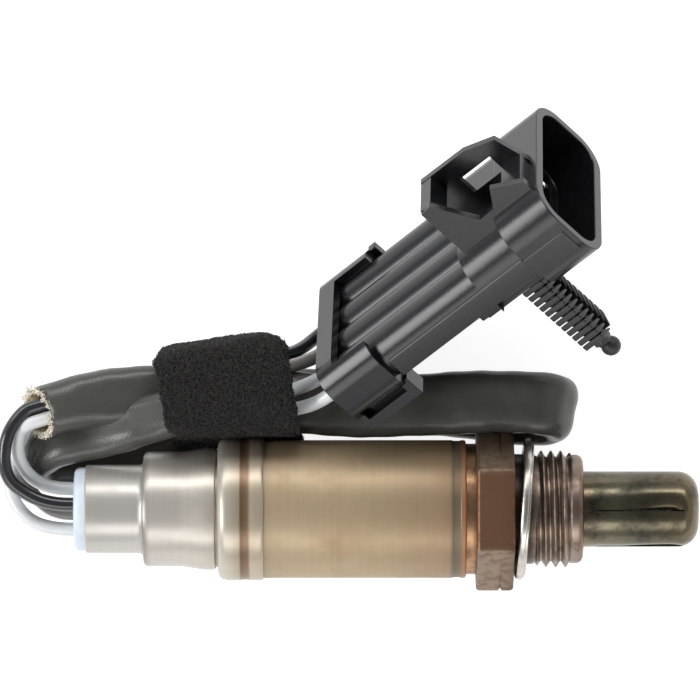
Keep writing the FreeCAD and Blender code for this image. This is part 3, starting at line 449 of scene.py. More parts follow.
# The protection tube, a closed deep-drawn cap over the sensing element.
# Each of its four gas openings is a lengthwise slit with one lip pressed inwards. Heat has
# left it olive brown; its colour is darker about the middle of its length and in dark patches.
TIP_RADIUS, TIP_WALL = 5.8, 0.0004
DOME_START, DOME_LENGTH, DOME_FALL = 92.8, 3.1, 3.2
SLIT = (79.4, 94.2)
SLIT_END, SLIT_ANGLE = 0.6, 1.9
LIP_ANGLE, LIP_ENDS = 30, (1.6, 2.6)
SHALLOW, DEEPER = 0.22, 0.75
DEEPENS_FROM, DEEPENS_OVER = 84.0, 6.5
tip_steel = probe_metal(
    "tip_steel", 78.0, 96.0,
    [(0.0, 128, 102, 80), (0.05, 116, 107, 88), (0.25, 104, 99, 82), (0.55, 84, 79, 65),
     (0.85, 106, 96, 76), (1.0, 120, 108, 88)],
    (44, 42, 36), rough=0.24, fineness=1200.0, depth=0.12, stain_size=210.0, cover=0.56,
    stain_strength=0.88, metallic=0.85)
stations = [(76.8, TIP_RADIUS)] + [(78.0 + 0.3 * step, TIP_RADIUS) for step in range(49)] + [
    (DOME_START + DOME_LENGTH * math.sin(math.radians(angle)),
     TIP_RADIUS - DOME_FALL * (1 - math.cos(math.radians(angle))))
    for angle in range(6, 90, 7)] + [(95.92, 2.4), (95.98, 1.2), (96.0, 0.0)]
bm = spun(stations, steps=192, upward=True)


def turn_past_slit(point):
    """Degrees round the tube from the nearest slit, from -45 to 45."""
    angle = math.degrees(math.atan2(point.y, point.z - AXIS.z))
    return (angle + 45) % 90 - 45


slit_faces = []
for face in bm.faces:
    middle = face.calc_center_median()
    station = (middle.x - REAR) * 1000
    if (SLIT[0] + SLIT_END < station < SLIT[1] - SLIT_END
            and -SLIT_ANGLE < turn_past_slit(middle) < 0):
        slit_faces.append(face)
bmesh.ops.delete(bm, geom=slit_faces, context="FACES_ONLY")
for vertex in bm.verts:
    station = (vertex.co.x - REAR) * 1000
    angle = turn_past_slit(vertex.co)
    if SLIT[0] < station < SLIT[1] and -0.5 < angle < LIP_ANGLE:
        ends = min((station - SLIT[0]) / LIP_ENDS[0], (SLIT[1] - station) / LIP_ENDS[1], 1.0)
        deep = SHALLOW + DEEPER * min(max((station - DEEPENS_FROM) / DEEPENS_OVER, 0.0), 1.0)
        press = (deep * (1 - math.cos(math.pi * ends)) / 2
                 * ((LIP_ANGLE - angle) / LIP_ANGLE) ** 1.8)
        out = Vector((0, vertex.co.y, vertex.co.z - AXIS.z))
        vertex.co -= out.normalized() * press / 1000
bmesh.ops.delete(bm, geom=[edge for edge in bm.edges if not edge.link_faces], context="EDGES")
bmesh.ops.solidify(bm, geom=list(bm.faces), thickness=TIP_WALL)
piece("slotted_tip", bm, tip_steel, "tip_steel", "protection_tube", sharp=50)

# The captive sealing ring, a steel strip folded double into a ring.
# It hangs loose on the undercut behind the thread, a few degrees askew, and is still
# bright because it has never been crushed.
RING_MIDDLE = 69.15
RING_TURN = math.radians(-4)
ring_steel = probe_metal(
    "ring_steel", 67.5, 70.7, [(0.0, 196, 192, 184), (1.0, 202, 198, 190)],
    (150, 140, 126), fineness=900.0, depth=0.15, stain_size=300.0, stain_strength=0.4)
bm = spun([(RING_MIDDLE + along, radius) for along, radius in (
    (-0.25, 8.95), (-0.7, 9.15), (-0.8, 9.6), (-0.78, 10.35), (-0.6, 10.75), (-0.2, 10.93),
    (0.2, 10.93), (0.42, 10.8), (0.28, 10.62), (0.2, 10.7), (0.05, 10.62), (0.2, 10.45),
    (0.62, 10.5), (0.78, 10.2), (0.8, 9.6), (0.62, 9.15), (0.25, 8.95), (-0.25, 8.95))])
askew = (Matrix.Translation((REAR + RING_MIDDLE / 1000, 0, AXIS.z))
         @ Matrix.Rotation(RING_TURN, 4, "Z")
         @ Matrix.Translation((-REAR - RING_MIDDLE / 1000, 0, -AXIS.z)))
bmesh.ops.transform(bm, verts=bm.verts, matrix=askew)
soften(bm, 0.00008, angle=40)
piece("folded_ring", bm, ring_steel, "ring_steel", "sealing_ring")

# The grommet, a pale fluoropolymer plug with a rounded rim.
# It is pushed into the crimped end of the cap, and each wire leaves through its own hole.
HOLE_CIRCLE, HOLE_TURN = 0.0032, 14.5
WIRE_HOLES = [(math.sin(math.radians(HOLE_TURN + 90 * way)) * HOLE_CIRCLE,
               math.cos(math.radians(HOLE_TURN + 90 * way)) * HOLE_CIRCLE)
              for way in range(4)]


def speckled(name, base, speck, rough, size=900.0, amount=0.35, grain=0.2, coat=0.0):
    """A plain moulded or extruded surface: fine specks of a second tone and a slight grain."""
    material, tree = new_material(name)
    blotches = tree.add("ShaderNodeGroup", {"Size": size, "Cover": 0.5}, node_tree=stains)
    colour = tree.mix(tree.math("MULTIPLY", blotches.outputs["Mask"], amount), paint(*base),
                      paint(*speck))
    grainy = tree.add("ShaderNodeBump", {"Strength": grain, "Distance": 0.00004,
                                         "Height": blotches.outputs["Grit"]})
    roughness = tree.math("ADD", rough, tree.math(
        "MULTIPLY", tree.math("SUBTRACT", blotches.outputs["Grit"], 0.5), 0.2))
    tree.surface({"Base Color": colour, "Roughness": roughness,
                  "Normal": grainy.outputs["Normal"], "Coat Weight": coat,
                  "Coat Roughness": 0.15})
    return material


def cad_finish(material, *names):
    """Gives carried-over CAD nodes a material."""
    for name in names:
        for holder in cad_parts[name].material_slots:
            holder.material = material


grommet_polymer = speckled("grommet_polymer", (204, 214, 224), (186, 194, 202), 0.35,
                           size=500.0)
bm = spun([(7.0, 0.0), (7.0, 6.4), (1.2, 6.44), (0.75, 6.4), (0.3, 6.2), (0.05, 5.75), (0, 5.3),
           (0.0, 4.95), (0.12, 4.8), (0.12, 0.0)])
piece("grommet_body", bm, grommet_polymer, "grommet_polymer", "wire_grommet")


def joined(*parts):
    """Several bmeshes in one."""
    whole = bmesh.new()
    for part in parts:
        mesh = mesh_of("part", part)
        whole.from_mesh(mesh)
        bpy.data.meshes.remove(mesh)
    return whole


lips = []
for across, up in WIRE_HOLES:
    lip = spun([(-0.02, 1.08), (-0.02, 1.25), (0.0, 1.45), (0.2, 1.5), (0.2, 1.08)], steps=32)
    bmesh.ops.translate(lip, verts=lip.verts, vec=(0, across, up))
    lips.append(lip)
piece("grommet_lips", joined(*lips), grommet_polymer, "grommet_polymer")

# What the probe holds, hidden behind the cap and the tip.
# The fired ceramics are matt and pale, and the contacts are plated spring strip.
ceramic = speckled("fired_ceramic", (236, 232, 222), (206, 198, 184), 0.75, size=700.0)
plated_strip = probe_metal(
    "plated_strip", 0.0, 96.0, [(0.0, 205, 200, 190), (1.0, 205, 200, 190)],
    (150, 140, 120), depth=0.1)
cad_finish(ceramic, "sensing_element", "ceramic_bush", "heater_rod", "contact_carrier")
cad_finish(plated_strip, "packing_washer", "signal_contact_disc", "disc_spring",
           "signal_contact", "heater_contact_a", "ground_contact", "heater_contact_b")

# The sleeving over the lead, a glass-fibre braid under a charcoal coating.
# It is nearly flat where it lies folded, and rounder at its cut mouth, where the tan braid
# shows inside and cut fibres stand out.
SLEEVING_ROUTE = [
    (-53.0, 14.9, 14.6), (-45.5, 17.2, 14.0), (-36.5, 17.4, 12.8), (-25.0, 17.0, 11.5),
    (-14.0, 16.4, 11.1), (-6.0, 15.8, 10.9), (4.0, 15.9, 11.0), (10.0, 16.3, 12.2),
    (17.0, 16.6, 13.0), (24.6, 16.3, 13.4), (27.6, 15.2, 8.4), (24.6, 13.9, 3.4),
    (16.5, 14.9, 3.3), (7.0, 15.9, 3.4), (-3.0, 16.0, 3.3), (-12.0, 17.2, 4.7),
    (-20.0, 15.6, 4.0), (-29.0, 13.6, 3.6), (-37.0, 10.8, 3.2), (-44.5, 8.2, 3.0),
    (-52.8, 7.0, 3.1), (-54.9, 7.8, 7.0), (-51.2, 10.2, 11.0), (-43.5, 11.6, 12.2),
    (-35.0, 14.4, 15.6), (-29.0, 15.7, 17.3),
]
BRAID_TURN, BRAID_SCALE = 0.6, 620.0
sleeving_coat, tree = new_material("sleeving_coat")
# Soft lighter and darker patches: partly the coating's own mottling, partly painted sheen.
blotches = tree.add("ShaderNodeGroup", {"Size": 160.0, "Cover": 0.55}, node_tree=stains)
place = tree.place()
woven = []
for turn in (BRAID_TURN, -BRAID_TURN):
    turned = tree.add("ShaderNodeMapping", {"Vector": place, "Rotation": (0.0, 0.0, turn)})
    wave = tree.add("ShaderNodeTexWave", {"Vector": turned.outputs[0], "Scale": BRAID_SCALE,
                                          "Distortion": 1.2, "Detail": 1.0},
                    bands_direction="X")
    woven.append(wave.outputs["Fac"])
height = tree.math("ADD", tree.math("MULTIPLY", tree.math("MULTIPLY", *woven), 0.6),
                   tree.math("MULTIPLY", blotches.outputs["Grit"], 0.25))
dents = tree.add("ShaderNodeTexNoise", {"Vector": place, "Scale": 150.0, "Detail": 1.0})
dented = tree.add("ShaderNodeBump", {"Strength": 0.6, "Distance": 0.0012,
                                     "Height": dents.outputs["Fac"]})
creased = tree.add("ShaderNodeBump", {"Strength": 0.4, "Distance": 0.00005,
                                      "Height": height, "Normal": dented.outputs["Normal"]})
tree.surface({
    "Base Color": tree.mix(tree.math("MULTIPLY", blotches.outputs["Mask"], 0.5),
                           paint(70, 70, 66), paint(46, 46, 43)),
    "Roughness": tree.math("ADD", 0.3, tree.math("MULTIPLY", blotches.outputs["Mask"], 0.1)),
    "Normal": creased.outputs["Normal"]})


def curves(name, kind, lines, detail):
    """Curve data with a spline for each line of points."""
    data = bpy.data.curves.new(name, "CURVE")
    data.dimensions = "3D"
    data.resolution_u = detail
    for line in lines:
        spline = data.splines.new(kind)
        spline.points.add(len(line) - 1)
        for point, spot in zip(spline.points, line):
            point.co = (*spot, 1.0)
        if kind == "NURBS":
            spline.order_u = 3
            spline.use_endpoint_u = True
    return data


def route_curve(name, route, material):
    """An open smooth curve whose control points are the route's points, in millimetres."""
    metres = [[value / 1000 for value in spot] for spot in route]
    cord = placed(name, curves(name, "NURBS", [metres], 10))
    cord.data.materials.append(material)
    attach(cord, "root")
    return cord


def line_of(cord):
    """The smooth line of a curve that has no thickness yet."""
    mesh = bpy.data.meshes.new_from_object(cord)
    points = [vertex.co.copy() for vertex in mesh.vertices]
    bpy.data.meshes.remove(mesh)
    return points


def length_of(points):
    return sum((after - before).length for before, after in zip(points, points[1:]))


sleeving = route_curve("folded_sleeving", SLEEVING_ROUTE, sleeving_coat)
sleeving_line = line_of(sleeving)


def bent_grid(last, rows):
    """A grid to be bent into a band, and each vertex with its column and share across."""
    bm = bmesh.new()
    bmesh.ops.create_grid(bm, x_segments=last, y_segments=rows, size=1.0)
    low = min(vertex.co.x for vertex in bm.verts)
    span = max(vertex.co.x for vertex in bm.verts) - low
    return bm, [(vertex, round((vertex.co.x - low) / span * last), (vertex.co.y - low) / span)
                for vertex in bm.verts]


def swept(line, sides, shape):
    """A closed tube round a line, with its flat way kept level.

    shape takes how far along it is, in metres, and an angle, and gives metres across, up and
    ahead of the line."""
    last = len(line) - 1
    frames = []
    flat_way, travelled = None, 0.0
    for index, point in enumerate(line):
        heading = (line[min(index + 1, last)] - line[max(index - 1, 0)]).normalized()
        if index:
            travelled += (point - line[index - 1]).length
        else:
            flat_way = Vector((0, 0, 1)).cross(heading)
        flat_way = (flat_way - heading * flat_way.dot(heading)).normalized()
        frames.append((point, heading, flat_way, heading.cross(flat_way), travelled))
    bm, spots = bent_grid(last, sides)
    for vertex, index, share in spots:
        point, heading, flat_way, upright, travelled = frames[index]
        across, up, ahead = shape(travelled, share * math.tau)
        vertex.co = point + flat_way * across + upright * up + heading * ahead
    bmesh.ops.remove_doubles(bm, verts=bm.verts, dist=1e-7)
    bmesh.ops.recalc_face_normals(bm, faces=bm.faces)
    return bm


SLEEVING_LENGTH = length_of(sleeving_line)
FLAT_WIDTH, FLAT_HEIGHT = 0.0096, 0.0050
MOUTH_WIDTH, MOUTH_HEIGHT = 0.0078, 0.0068
SLEEVING_WALL = 0.0009
OPENS_WITHIN, CUT_WITHIN = 0.011, 0.0035
NIPPED_BY, NIPPED_FROM_END, NIPPED_WITHIN = 0.0010, 0.036, 0.004


def walled(thing, thickness):
    """Gives an open surface its wall, on the inside."""
    wall = thing.modifiers.new("wall", "SOLIDIFY")
    wall.thickness = thickness
    wall.offset = -1
    return wall


def sleeving_shape(travelled, angle):
    """The pressed sleeving: round at the mouth, flat along the folds, nipped at the strap."""
    open_end = math.exp(-((travelled / OPENS_WITHIN) ** 2))
    nipped = 0.5 + 0.5 * math.tanh((travelled - SLEEVING_LENGTH + NIPPED_FROM_END)
                                   / NIPPED_WITHIN)
    half_width = (FLAT_WIDTH / 2 + (MOUTH_WIDTH - FLAT_WIDTH) / 2 * open_end
                  - NIPPED_BY * nipped
                  + 0.00007 * math.sin(travelled * 410) + 0.00004 * math.sin(travelled * 1310))
    half_height = (FLAT_HEIGHT / 2 + (MOUTH_HEIGHT - FLAT_HEIGHT) / 2 * open_end
                   + 0.00010 * math.sin(travelled * 470 + 1))
    across = math.copysign(abs(math.cos(angle)) ** 0.75, math.cos(angle))
    up = math.copysign(abs(math.sin(angle)) ** 0.88, math.sin(angle))
    dent = 1 - 0.12 * math.exp(-((across * 2.4) ** 2)) * (1 - open_end)
    ragged = 0.00018 * math.sin(angle * 9) + 0.00012 * math.sin(angle * 23 + 1)
    slant = (up * 0.0016 - 0.0004 + ragged) * math.exp(-travelled / CUT_WITHIN)
    return across * half_width, up * half_height * dent, slant


braid_lining = speckled("braid_lining", (196, 176, 138), (150, 128, 92), 0.8, size=2600.0,
                        amount=0.8, grain=0.8)
braid_rim = speckled("braid_rim", (232, 226, 210), (198, 184, 156), 0.85, size=3200.0,
                     amount=0.8, grain=1.0)
lead_sleeve = piece("loom_sleeving", swept(sleeving_line, 48, sleeving_shape), sleeving_coat,
                    "loom_sleeving", "wire_sleeving", sharp=60)
lead_sleeve.data.materials.append(braid_lining)
lead_sleeve.data.materials.append(braid_rim)
wall = walled(lead_sleeve, SLEEVING_WALL)
wall.material_offset = 1
wall.material_offset_rim = 2
bpy.data.objects.remove(sleeving)


def fibres(name, strands, thickness, material):
    """Fine strands in one mesh, each a list of points in metres."""
    data = curves(name, "POLY", strands, 2)
    data.bevel_depth = thickness / 2
    data.bevel_resolution = 0
    lines = bpy.data.objects.new(name + "_lines", data)
    mesh = bpy.data.meshes.new_from_object(lines)
    bpy.data.objects.remove(lines)
    mesh.materials.clear()
    mesh.materials.append(material)
    thing = placed(name, mesh)
    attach(thing, "root")
    return thing


def frayed_strands(count, seed):
    """Cut ends of the braid that stand out all round the mouth."""
    chance = random.Random(seed)
    heading = (sleeving_line[1] - sleeving_line[0]).normalized()
    flat_way = Vector((0, 0, 1)).cross(heading).normalized()
    upright = heading.cross(flat_way)
    strands = []
    for _ in range(count):
        angle = chance.uniform(0, math.tau)
        across, up, ahead = sleeving_shape(0.0, angle)
        depth = 1 - chance.uniform(0.02, 0.24)
        root = (sleeving_line[0] + flat_way * across * depth + upright * up * depth
                + heading * (ahead + 0.0003))
        out = -heading * chance.uniform(0.4, 1.0) + (flat_way * across + upright * up) * 120
        lean = Vector([chance.uniform(-1, 1) for _ in range(3)]) * 0.7
        reach = chance.uniform(0.0002, 0.0005)
        strands.append([root, root + (out.normalized() + lean) * reach * 0.5,
                        root + (out.normalized() + lean * 1.6) * reach])
    return strands


frayed_mouth = fibres("frayed_mouth", frayed_strands(760, 5), 0.00013, braid_rim)

# The four wires between the grommet and the sleeving, extruded insulation over strand.
# They leave straight, curl over to the left and run into the sleeving's mouth.
MOUTH, MOUTH_TOWARD = SLEEVING_ROUTE[0], SLEEVING_ROUTE[1]
WIRE = 0.0021
BUNDLED = 1.113


def across_cord(point, toward, side, lift, ahead):
    """A spot on a cord's section: so far to its side, up and ahead, in millimetres."""
    start = Vector(point)
    heading = (Vector(toward) - start).normalized()
    sideways = Vector((0, 0, 1)).cross(heading).normalized()
    return tuple(start + heading * ahead + sideways * side + heading.cross(sideways) * lift)


black_insulation, white_insulation, grey_insulation = (
    speckled(name, base, speck, rough, size=240.0, amount=0.4, grain=0.06, coat=coat)
    for name, base, speck, rough, coat in (
        ("black_insulation", (34, 35, 38), (28, 28, 30), 0.24, 0.5),
        ("white_insulation", (210, 212, 214), (196, 194, 188), 0.3, 0.4),
        ("grey_insulation", (128, 126, 122), (112, 110, 106), 0.28, 0.45)))


def wire(name, route, material, node):
    """A wire along a route: a round curve that stands for a CAD node, which it hides."""
    cord = route_curve(name, route, material)
    line = line_of(cord)
    cord.data.bevel_depth = 1.0
    for point in cord.data.splines[0].points:
        point.radius = WIRE / 2
    cord.data.bevel_resolution = 5
    cord.data.use_fill_caps = True
    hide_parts(node)
    return cord


REAR_WIRES = [
    ("black_lead_rear", black_insulation, "black_insulation", "black_wire_rear",
     (0.801, 14.098), [(-54.8, 2.0, 14.4), (-58.6, 5.0, 15.3), (-58.5, 11.0, 16.8)], (1, 1)),
    ("white_lead_a_rear", white_insulation, "white_insulation", "white_wire_a_rear",
     (3.098, 10.199), [(-54.6, 4.5, 11.4), (-56.7, 8.0, 13.5), (-56.4, 11.9, 15.0)], (-1, 1)),
    ("grey_lead_rear", grey_insulation, "grey_insulation", "grey_wire_rear",
     (-0.801, 7.902), [(-54.2, 1.6, 7.4), (-57.2, 5.6, 8.6), (-57.2, 11.2, 11.6)], (1, -1)),
    ("white_lead_b_rear", white_insulation, "white_insulation", "white_wire_b_rear",
     (-3.098, 11.801), [(-55.2, -1.8, 11.4), (-58.3, 2.6, 10.6), (-57.5, 7.8, 10.3),
                        (-56.0, 11.0, 11.1)], (-1, -1)),
]
for name, material, slot, node, (y, z), loop, (side, lift) in REAR_WIRES:
    inside = [across_cord(MOUTH, MOUTH_TOWARD, side * BUNDLED, lift * BUNDLED, ahead)
              for ahead in (-2.6, 0.0, 6.0)]
    wire(name, [(-39.0, y, z), (-46.0, y, z), (-51.0, y, z), *loop, *inside],
         material, node)

# The plug, a four-way connector moulded in black glass-filled polymer.
# The housing with its four barrels runs into a shroud with a latch bridge on its upper side.
# The secondary lock is pressed on to the wires' end, and a barbed clip stands on the underside.
PLUG_AT = Vector((-6.83, 24.3, 12.75))
ALONG = Vector((0.723, 0.553, 0.415)).normalized()
THROUGH = ALONG.cross(Vector((0.023, 0.579, -0.815))).normalized()
ACROSS = THROUGH.cross(ALONG)
CLIP_ALONG, CLIP_ACROSS = 33.8, -6.0
BARBS, FIRST_BARB, BARB_STEP, BARB_SLOPE = 12, -8.0, 1.22, 0.42
KNOB_THROUGH, KNOB_RADIUS = -24.0, 0.00155
SAME_PLACE = 2e-6


def plug_point(along, across, through=0.0):
    """A point in the plug's own frame, in millimetres."""
    return tuple(PLUG_AT + ALONG * along + ACROSS * across + THROUGH * through)


def plug_block(along, across, through, width=0.0):
    """A block in the plug's frame, from (low, high) pairs in millimetres."""
    bm = bmesh.new()
    bmesh.ops.create_cube(bm, size=1.0)
    for vertex in bm.verts:
        spot = [low + (high - low) * (half + 0.5)
                for half, (low, high) in zip(vertex.co, (along, across, through))]
        vertex.co = Vector(plug_point(*spot)) / 1000
    bmesh.ops.recalc_face_normals(bm, faces=bm.faces)
    return soften(bm, width, angle=50, segments=2) if width else bm


def carved(bm, cutter):
    """A bmesh with another one cut out of it."""
    pair = [placed("carving", mesh_of("carving", shape)) for shape in (bm, cutter)]
    cut = pair[0].modifiers.new("cut", "BOOLEAN")
    cut.operation = "DIFFERENCE"
    cut.solver = "EXACT"
    cut.object = pair[1]
    view = bpy.context.evaluated_depsgraph_get()
    view.update()
    result = bmesh.new()
    result.from_object(pair[0], view)
    for thing in pair:
        bpy.data.objects.remove(thing)
    return result


def moulded_copy(name, node, material, width, cutter=None, added=()):
    """A copy of a CAD solid, standing for it, with its edges eased as a mould leaves them."""
    bm = bmesh.new()
    bm.from_mesh(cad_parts[node].data)
    bmesh.ops.remove_doubles(bm, verts=bm.verts, dist=SAME_PLACE)
    if cutter:
        bm = carved(bm, cutter)
        bmesh.ops.remove_doubles(bm, verts=bm.verts, dist=SAME_PLACE)
    bmesh.ops.dissolve_limit(bm, angle_limit=math.radians(0.8), verts=bm.verts, edges=bm.edges)
    soften(bm, width, angle=28, segments=2)
    bmesh.ops.remove_doubles(bm, verts=bm.verts, dist=SAME_PLACE)
    copy = piece(name, joined(bm, *added), material, "plug_polymer", node)
    even(copy)
    return copy


def fir_tree():
    """The push-in clip: a base plate, a stem with a web, and barbs that slope back."""
    parts = [plug_block((25.4, 36.4), (-9.7, -2.3), (-6.0, -4.6), 0.00025),
             plug_block((32.7, 34.9), (-7.1, -4.9), (-22.8, -5.9), 0.0002),
             plug_block((33.3, 34.3), (-9.1, -2.9), (-21.4, -5.9), 0.0002)]
    for index in range(BARBS):
        root = FIRST_BARB - BARB_STEP * index
        for side in (-1, 1):
            bm = bmesh.new()
            bmesh.ops.create_cube(bm, size=1.0)
            for vertex in bm.verts:
                share = vertex.co.y + 0.5
                out = 0.4 + 3.1 * share
                reach = 2.35 - 0.5 * share
                thick = 0.45 + 0.6 * share
                spot = (CLIP_ALONG + 2 * vertex.co.x * reach, CLIP_ACROSS + side * out,
                        root + thick * vertex.co.z + BARB_SLOPE * out)
                vertex.co = Vector(plug_point(*spot)) / 1000
            bmesh.ops.recalc_face_normals(bm, faces=bm.faces)
            parts.append(soften(bm, 0.00022, angle=50, segments=3))
    knob = bmesh.new()
    bmesh.ops.create_uvsphere(knob, u_segments=28, v_segments=18, radius=KNOB_RADIUS)
    bmesh.ops.translate(knob, verts=knob.verts, vec=Vector(
        plug_point(CLIP_ALONG, CLIP_ACROSS, KNOB_THROUGH)) / 1000)
    return joined(*parts, knob)


plug_polymer = speckled("plug_polymer", (19, 20, 21), (30, 32, 33), 0.24, size=600.0,
                        amount=0.45)
lock_polymer = speckled("lock_polymer", (17, 18, 19), (28, 30, 31), 0.2, size=600.0,
                        amount=0.45, grain=0.16)
clip_polymer = speckled("clip_polymer", (34, 34, 32), (26, 26, 25), 0.46, amount=0.5, grain=0.3)
seal_rubber = speckled("seal_rubber", (70, 44, 38), (60, 40, 34), 0.6)
# The blade terminals get a dark, dull brass as painted shade for the dark cavities they sit in.
terminal_brass = speckled("terminal_brass", (72, 62, 44), (56, 48, 34), 0.55)
plug_parts = [
    moulded_copy("plug_body", "plug_housing", plug_polymer, 0.00025,
                 cutter=plug_block((9.8, 29.6), (-15, 15), (-6.0, -2.85)),
                 added=[plug_block((10.6, 38.2), (-13.75, 13.75), (-2.9, 0.76), 0.0003),
                        plug_block((25.4, 38.2), (-12.0, 12.0), (-4.62, -2.7), 0.0003)]),
    moulded_copy("plug_mouth_shroud", "plug_shroud", plug_polymer, 0.00022,
                 added=[plug_block((38.2, 46.4), (-14.42, -13.4), (-3.4, 0.72), 0.0002),
                        plug_block((38.2, 46.4), (13.4, 14.42), (-3.4, 0.72), 0.0002)]),
    moulded_copy("latch_bridge", "plug_latch", plug_polymer, 0.00022),
    moulded_copy("lock_frame", "secondary_lock", lock_polymer, 0.00022,
                 cutter=plug_block((0.9, 8.8), (-16.0, -11.4), (-5.55, -3.3)),
                 added=[plug_block((9.4, 10.9), (12.6, 14.2), (2.2, 4.6), 0.0002)]),
    piece("panel_fir_tree", fir_tree(), clip_polymer, "plug_polymer", "tree_clip"),
]
SEALS = ["wire_seal_%d" % way for way in (1, 2, 3, 4)]
BLADES = ["blade_terminal_%d" % way for way in (1, 2, 3, 4)]
cad_finish(seal_rubber, *SEALS)
cad_finish(terminal_brass, *BLADES)

# The four wires between the sleeving's other end and the plug.
# Each bends over to its own way and ends in a seal and a blade terminal.
LEAVES, LEAVES_TOWARD = SLEEVING_ROUTE[-1], SLEEVING_ROUTE[-2]
OUTWARD = tuple(2 * end - before for end, before in zip(LEAVES, LEAVES_TOWARD))
LOW, HIGH = 0.7875, 1.3545
PLUG_WIRES = [
    ("white_lead_a_plug", white_insulation, "white_insulation", "white_wire_a_plug",
     (-LOW, -HIGH), [(-24.4, 14.3, 16.0), (-19.6, 14.9, 16.0), (-14.2, 15.3, 16.6)], -9.45),
    ("white_lead_b_plug", white_insulation, "white_insulation", "white_wire_b_plug",
     (-HIGH, LOW), [(-24.4, 15.3, 19.1), (-19.6, 17.1, 18.4), (-14.2, 18.3, 15.8)], -3.15),
    ("grey_lead_plug", grey_insulation, "grey_insulation", "grey_wire_plug",
     (LOW, HIGH), [(-24.4, 18.2, 18.95), (-19.6, 21.1, 15.8), (-14.2, 22.0, 12.0)], 3.15),
    ("black_lead_plug", black_insulation, "black_insulation", "black_wire_plug",
     (HIGH, -LOW), [(-24.4, 21.2, 16.9), (-19.6, 23.5, 12.8), (-14.2, 23.7, 7.6)], 9.45),
]
for way, (name, material, slot, node, spot, loop, across) in enumerate(PLUG_WIRES):
    leaving = [across_cord(LEAVES, OUTWARD, *spot, ahead) for ahead in (-2.0, 0.0, 2.2)]
    entering = [plug_point(along, across) for along in (-4.2, 3.0, 11.0)]
    wire(name, [*leaving, *loop, *entering], material, node)

# The strap, a band of loop tape wound once round the folded lead and pressed on to itself.
# Its pile of short curled strands covers the outside, and the loose end lies on top.
STRAP_MIDDLE = -24.2
STRAP_SECTION = [(9.4, 2.0), (8.9, 4.4), (10.0, 8.4), (11.2, 12.6), (11.4, 17.2), (12.4, 20.4),
                 (15.0, 21.7), (19.0, 21.9), (23.0, 21.5), (25.2, 19.6), (25.7, 15.0),
                 (25.7, 8.0), (24.6, 3.4), (21.6, 1.2), (16.0, 0.7), (11.4, 0.9)]
FLAP_SECTION = [(12.6, 21.6), (15.0, 22.4), (19.0, 22.6), (23.2, 22.2), (25.7, 20.0),
                (26.3, 15.0), (26.3, 9.6)]
STRAP_HALF = 10.1
LEAN, LEANS_ABOUT = -0.16, 17.0
ROUNDED_FROM, ROUNDED_OVER = 23.9, 1.9
ACROSS_TAPE = 40
SWELL, ROLLED_EDGE, FAR_SIDE_SLANT = 0.16, 0.35, 0.14
TAPE_THICKNESS = 0.0009
PILE_THICKNESS = 0.00011


def strap_edge(height, side):
    """Where the tape's edge lies along the lead, which leans a little across its width."""
    lean = LEAN * (height - LEANS_ABOUT)
    ripple = 0.12 * math.sin(height * 1.3 + side) + 0.06 * math.sin(height * 2.9 + 2 * side)
    rounded = ((1.7 if side > 0 else 0.9)
               * max(0.0, (height - ROUNDED_FROM) / ROUNDED_OVER) ** 2)
    return STRAP_MIDDLE + side * (STRAP_HALF - rounded) + lean + ripple


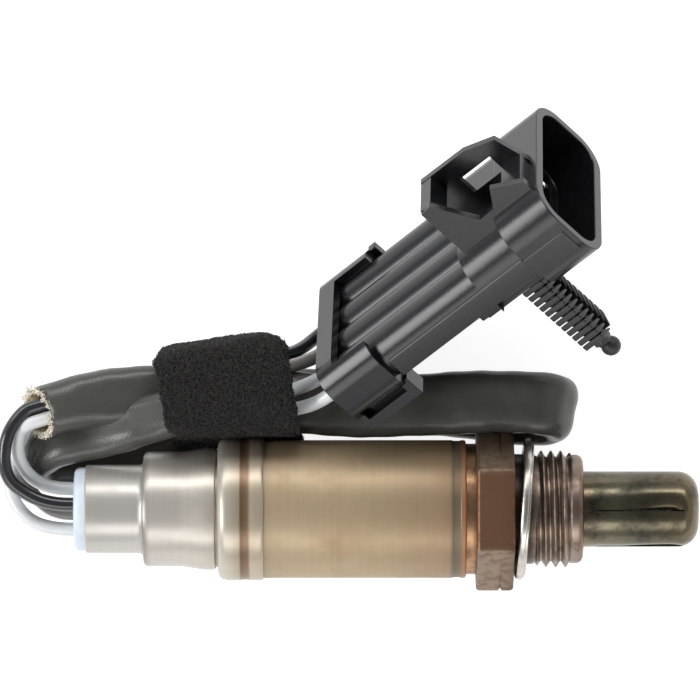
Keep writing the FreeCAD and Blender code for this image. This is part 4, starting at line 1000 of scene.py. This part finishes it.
def tape(name, section, closed):
    """A band of tape whose section is a smooth line through points, in millimetres."""
    data = curves(name + "_line", "NURBS", [[(0.0, y, z) for y, z in section]], 8)
    data.splines[0].use_endpoint_u = not closed
    data.splines[0].use_cyclic_u = closed
    holder = bpy.data.objects.new(name + "_line", data)
    line = line_of(holder)
    bpy.data.objects.remove(holder)
    if closed:
        line.append(line[0].copy())
    last = len(line) - 1
    bm, spots = bent_grid(last, ACROSS_TAPE)
    for vertex, index, share in spots:
        y, z = line[index].y, line[index].z
        before, after = line[max(index - 1, 0)], line[min(index + 1, last)]
        out = Vector((0, after.z - before.z, before.y - after.y)).normalized()
        start, end = strap_edge(y, -1), strap_edge(y, 1)
        swell = SWELL * math.sin(y * 0.9 + share * 5) * math.sin(z * 0.7 + share * 9)
        rolled = ROLLED_EDGE * ((2 * share - 1) ** 8)
        x = start + (end - start) * share
        y += FAR_SIDE_SLANT * (x - STRAP_MIDDLE) * max(0.0, (y - 9.0) / 16.5)
        vertex.co = Vector((x, y, z)) - out * (swell - rolled)
        vertex.co /= 1000
    if closed:
        bmesh.ops.remove_doubles(bm, verts=bm.verts, dist=1e-6)
    bm.normal_update()
    core = Vector((STRAP_MIDDLE, 18.0, 11.0)) / 1000
    inward = [face for face in bm.faces
              if face.normal.dot(face.calc_center_median() - core) < 0]
    if len(inward) > len(bm.faces) / 2:
        bmesh.ops.reverse_faces(bm, faces=bm.faces)
    return bm


strap_pile = speckled("strap_pile", (14, 14, 14), (24, 24, 24), 0.9, size=1800.0,
                      amount=0.7, grain=1.0)
strap_bm = tape("lead_strap", STRAP_SECTION, True)
flap_bm = tape("strap_flap", FLAP_SECTION, False)


def pile_strands(bm, count, seed):
    """Short curled loops that stand on a band's outer side."""
    faces = list(bm.faces)
    chance = random.Random(seed)
    strands = []
    for _ in range(count):
        face = faces[chance.randrange(len(faces))]
        corners = [vertex.co for vertex in face.verts]
        a, b = chance.random(), chance.random()
        root = corners[0].lerp(corners[1], a).lerp(corners[3].lerp(corners[2], a), b)
        along = Vector([chance.uniform(-1, 1) for _ in range(3)])
        along = (along - face.normal * along.dot(face.normal)).normalized()
        aside = face.normal.cross(along)
        hem = any(edge.is_boundary for edge in face.edges)
        reach = chance.uniform(0.0003, 0.0006) * (0.35 if hem else 1)
        rise = chance.uniform(0.0001, 0.0004)
        twist = chance.uniform(-0.0004, 0.0004) * (0.35 if hem else 1)
        strands.append([root, root + along * reach * 0.4 + face.normal * rise + aside * twist,
                        root + along * reach + face.normal * rise * 0.8 + aside * twist * 1.6,
                        root + along * reach * 1.3 + face.normal * rise * 0.1 + aside * twist])
    return strands


pile_fibre = speckled("pile_fibre", (38, 37, 34), (17, 17, 16), 0.6, size=1300.0,
                      amount=0.9, grain=0.3)
on_sleeving = [
    frayed_mouth,
    fibres("strap_loops", pile_strands(strap_bm, 8000, 3), PILE_THICKNESS, pile_fibre),
    fibres("flap_loops", pile_strands(flap_bm, 4800, 4), PILE_THICKNESS, pile_fibre)]
for name, band, nodes in (("lead_strap", strap_bm, ["cable_strap"]),
                          ("strap_flap", flap_bm, [])):
    thing = piece(name, band, strap_pile, "strap_fabric", *nodes, sharp=60)
    walled(thing, TAPE_THICKNESS)
    on_sleeving.append(thing)
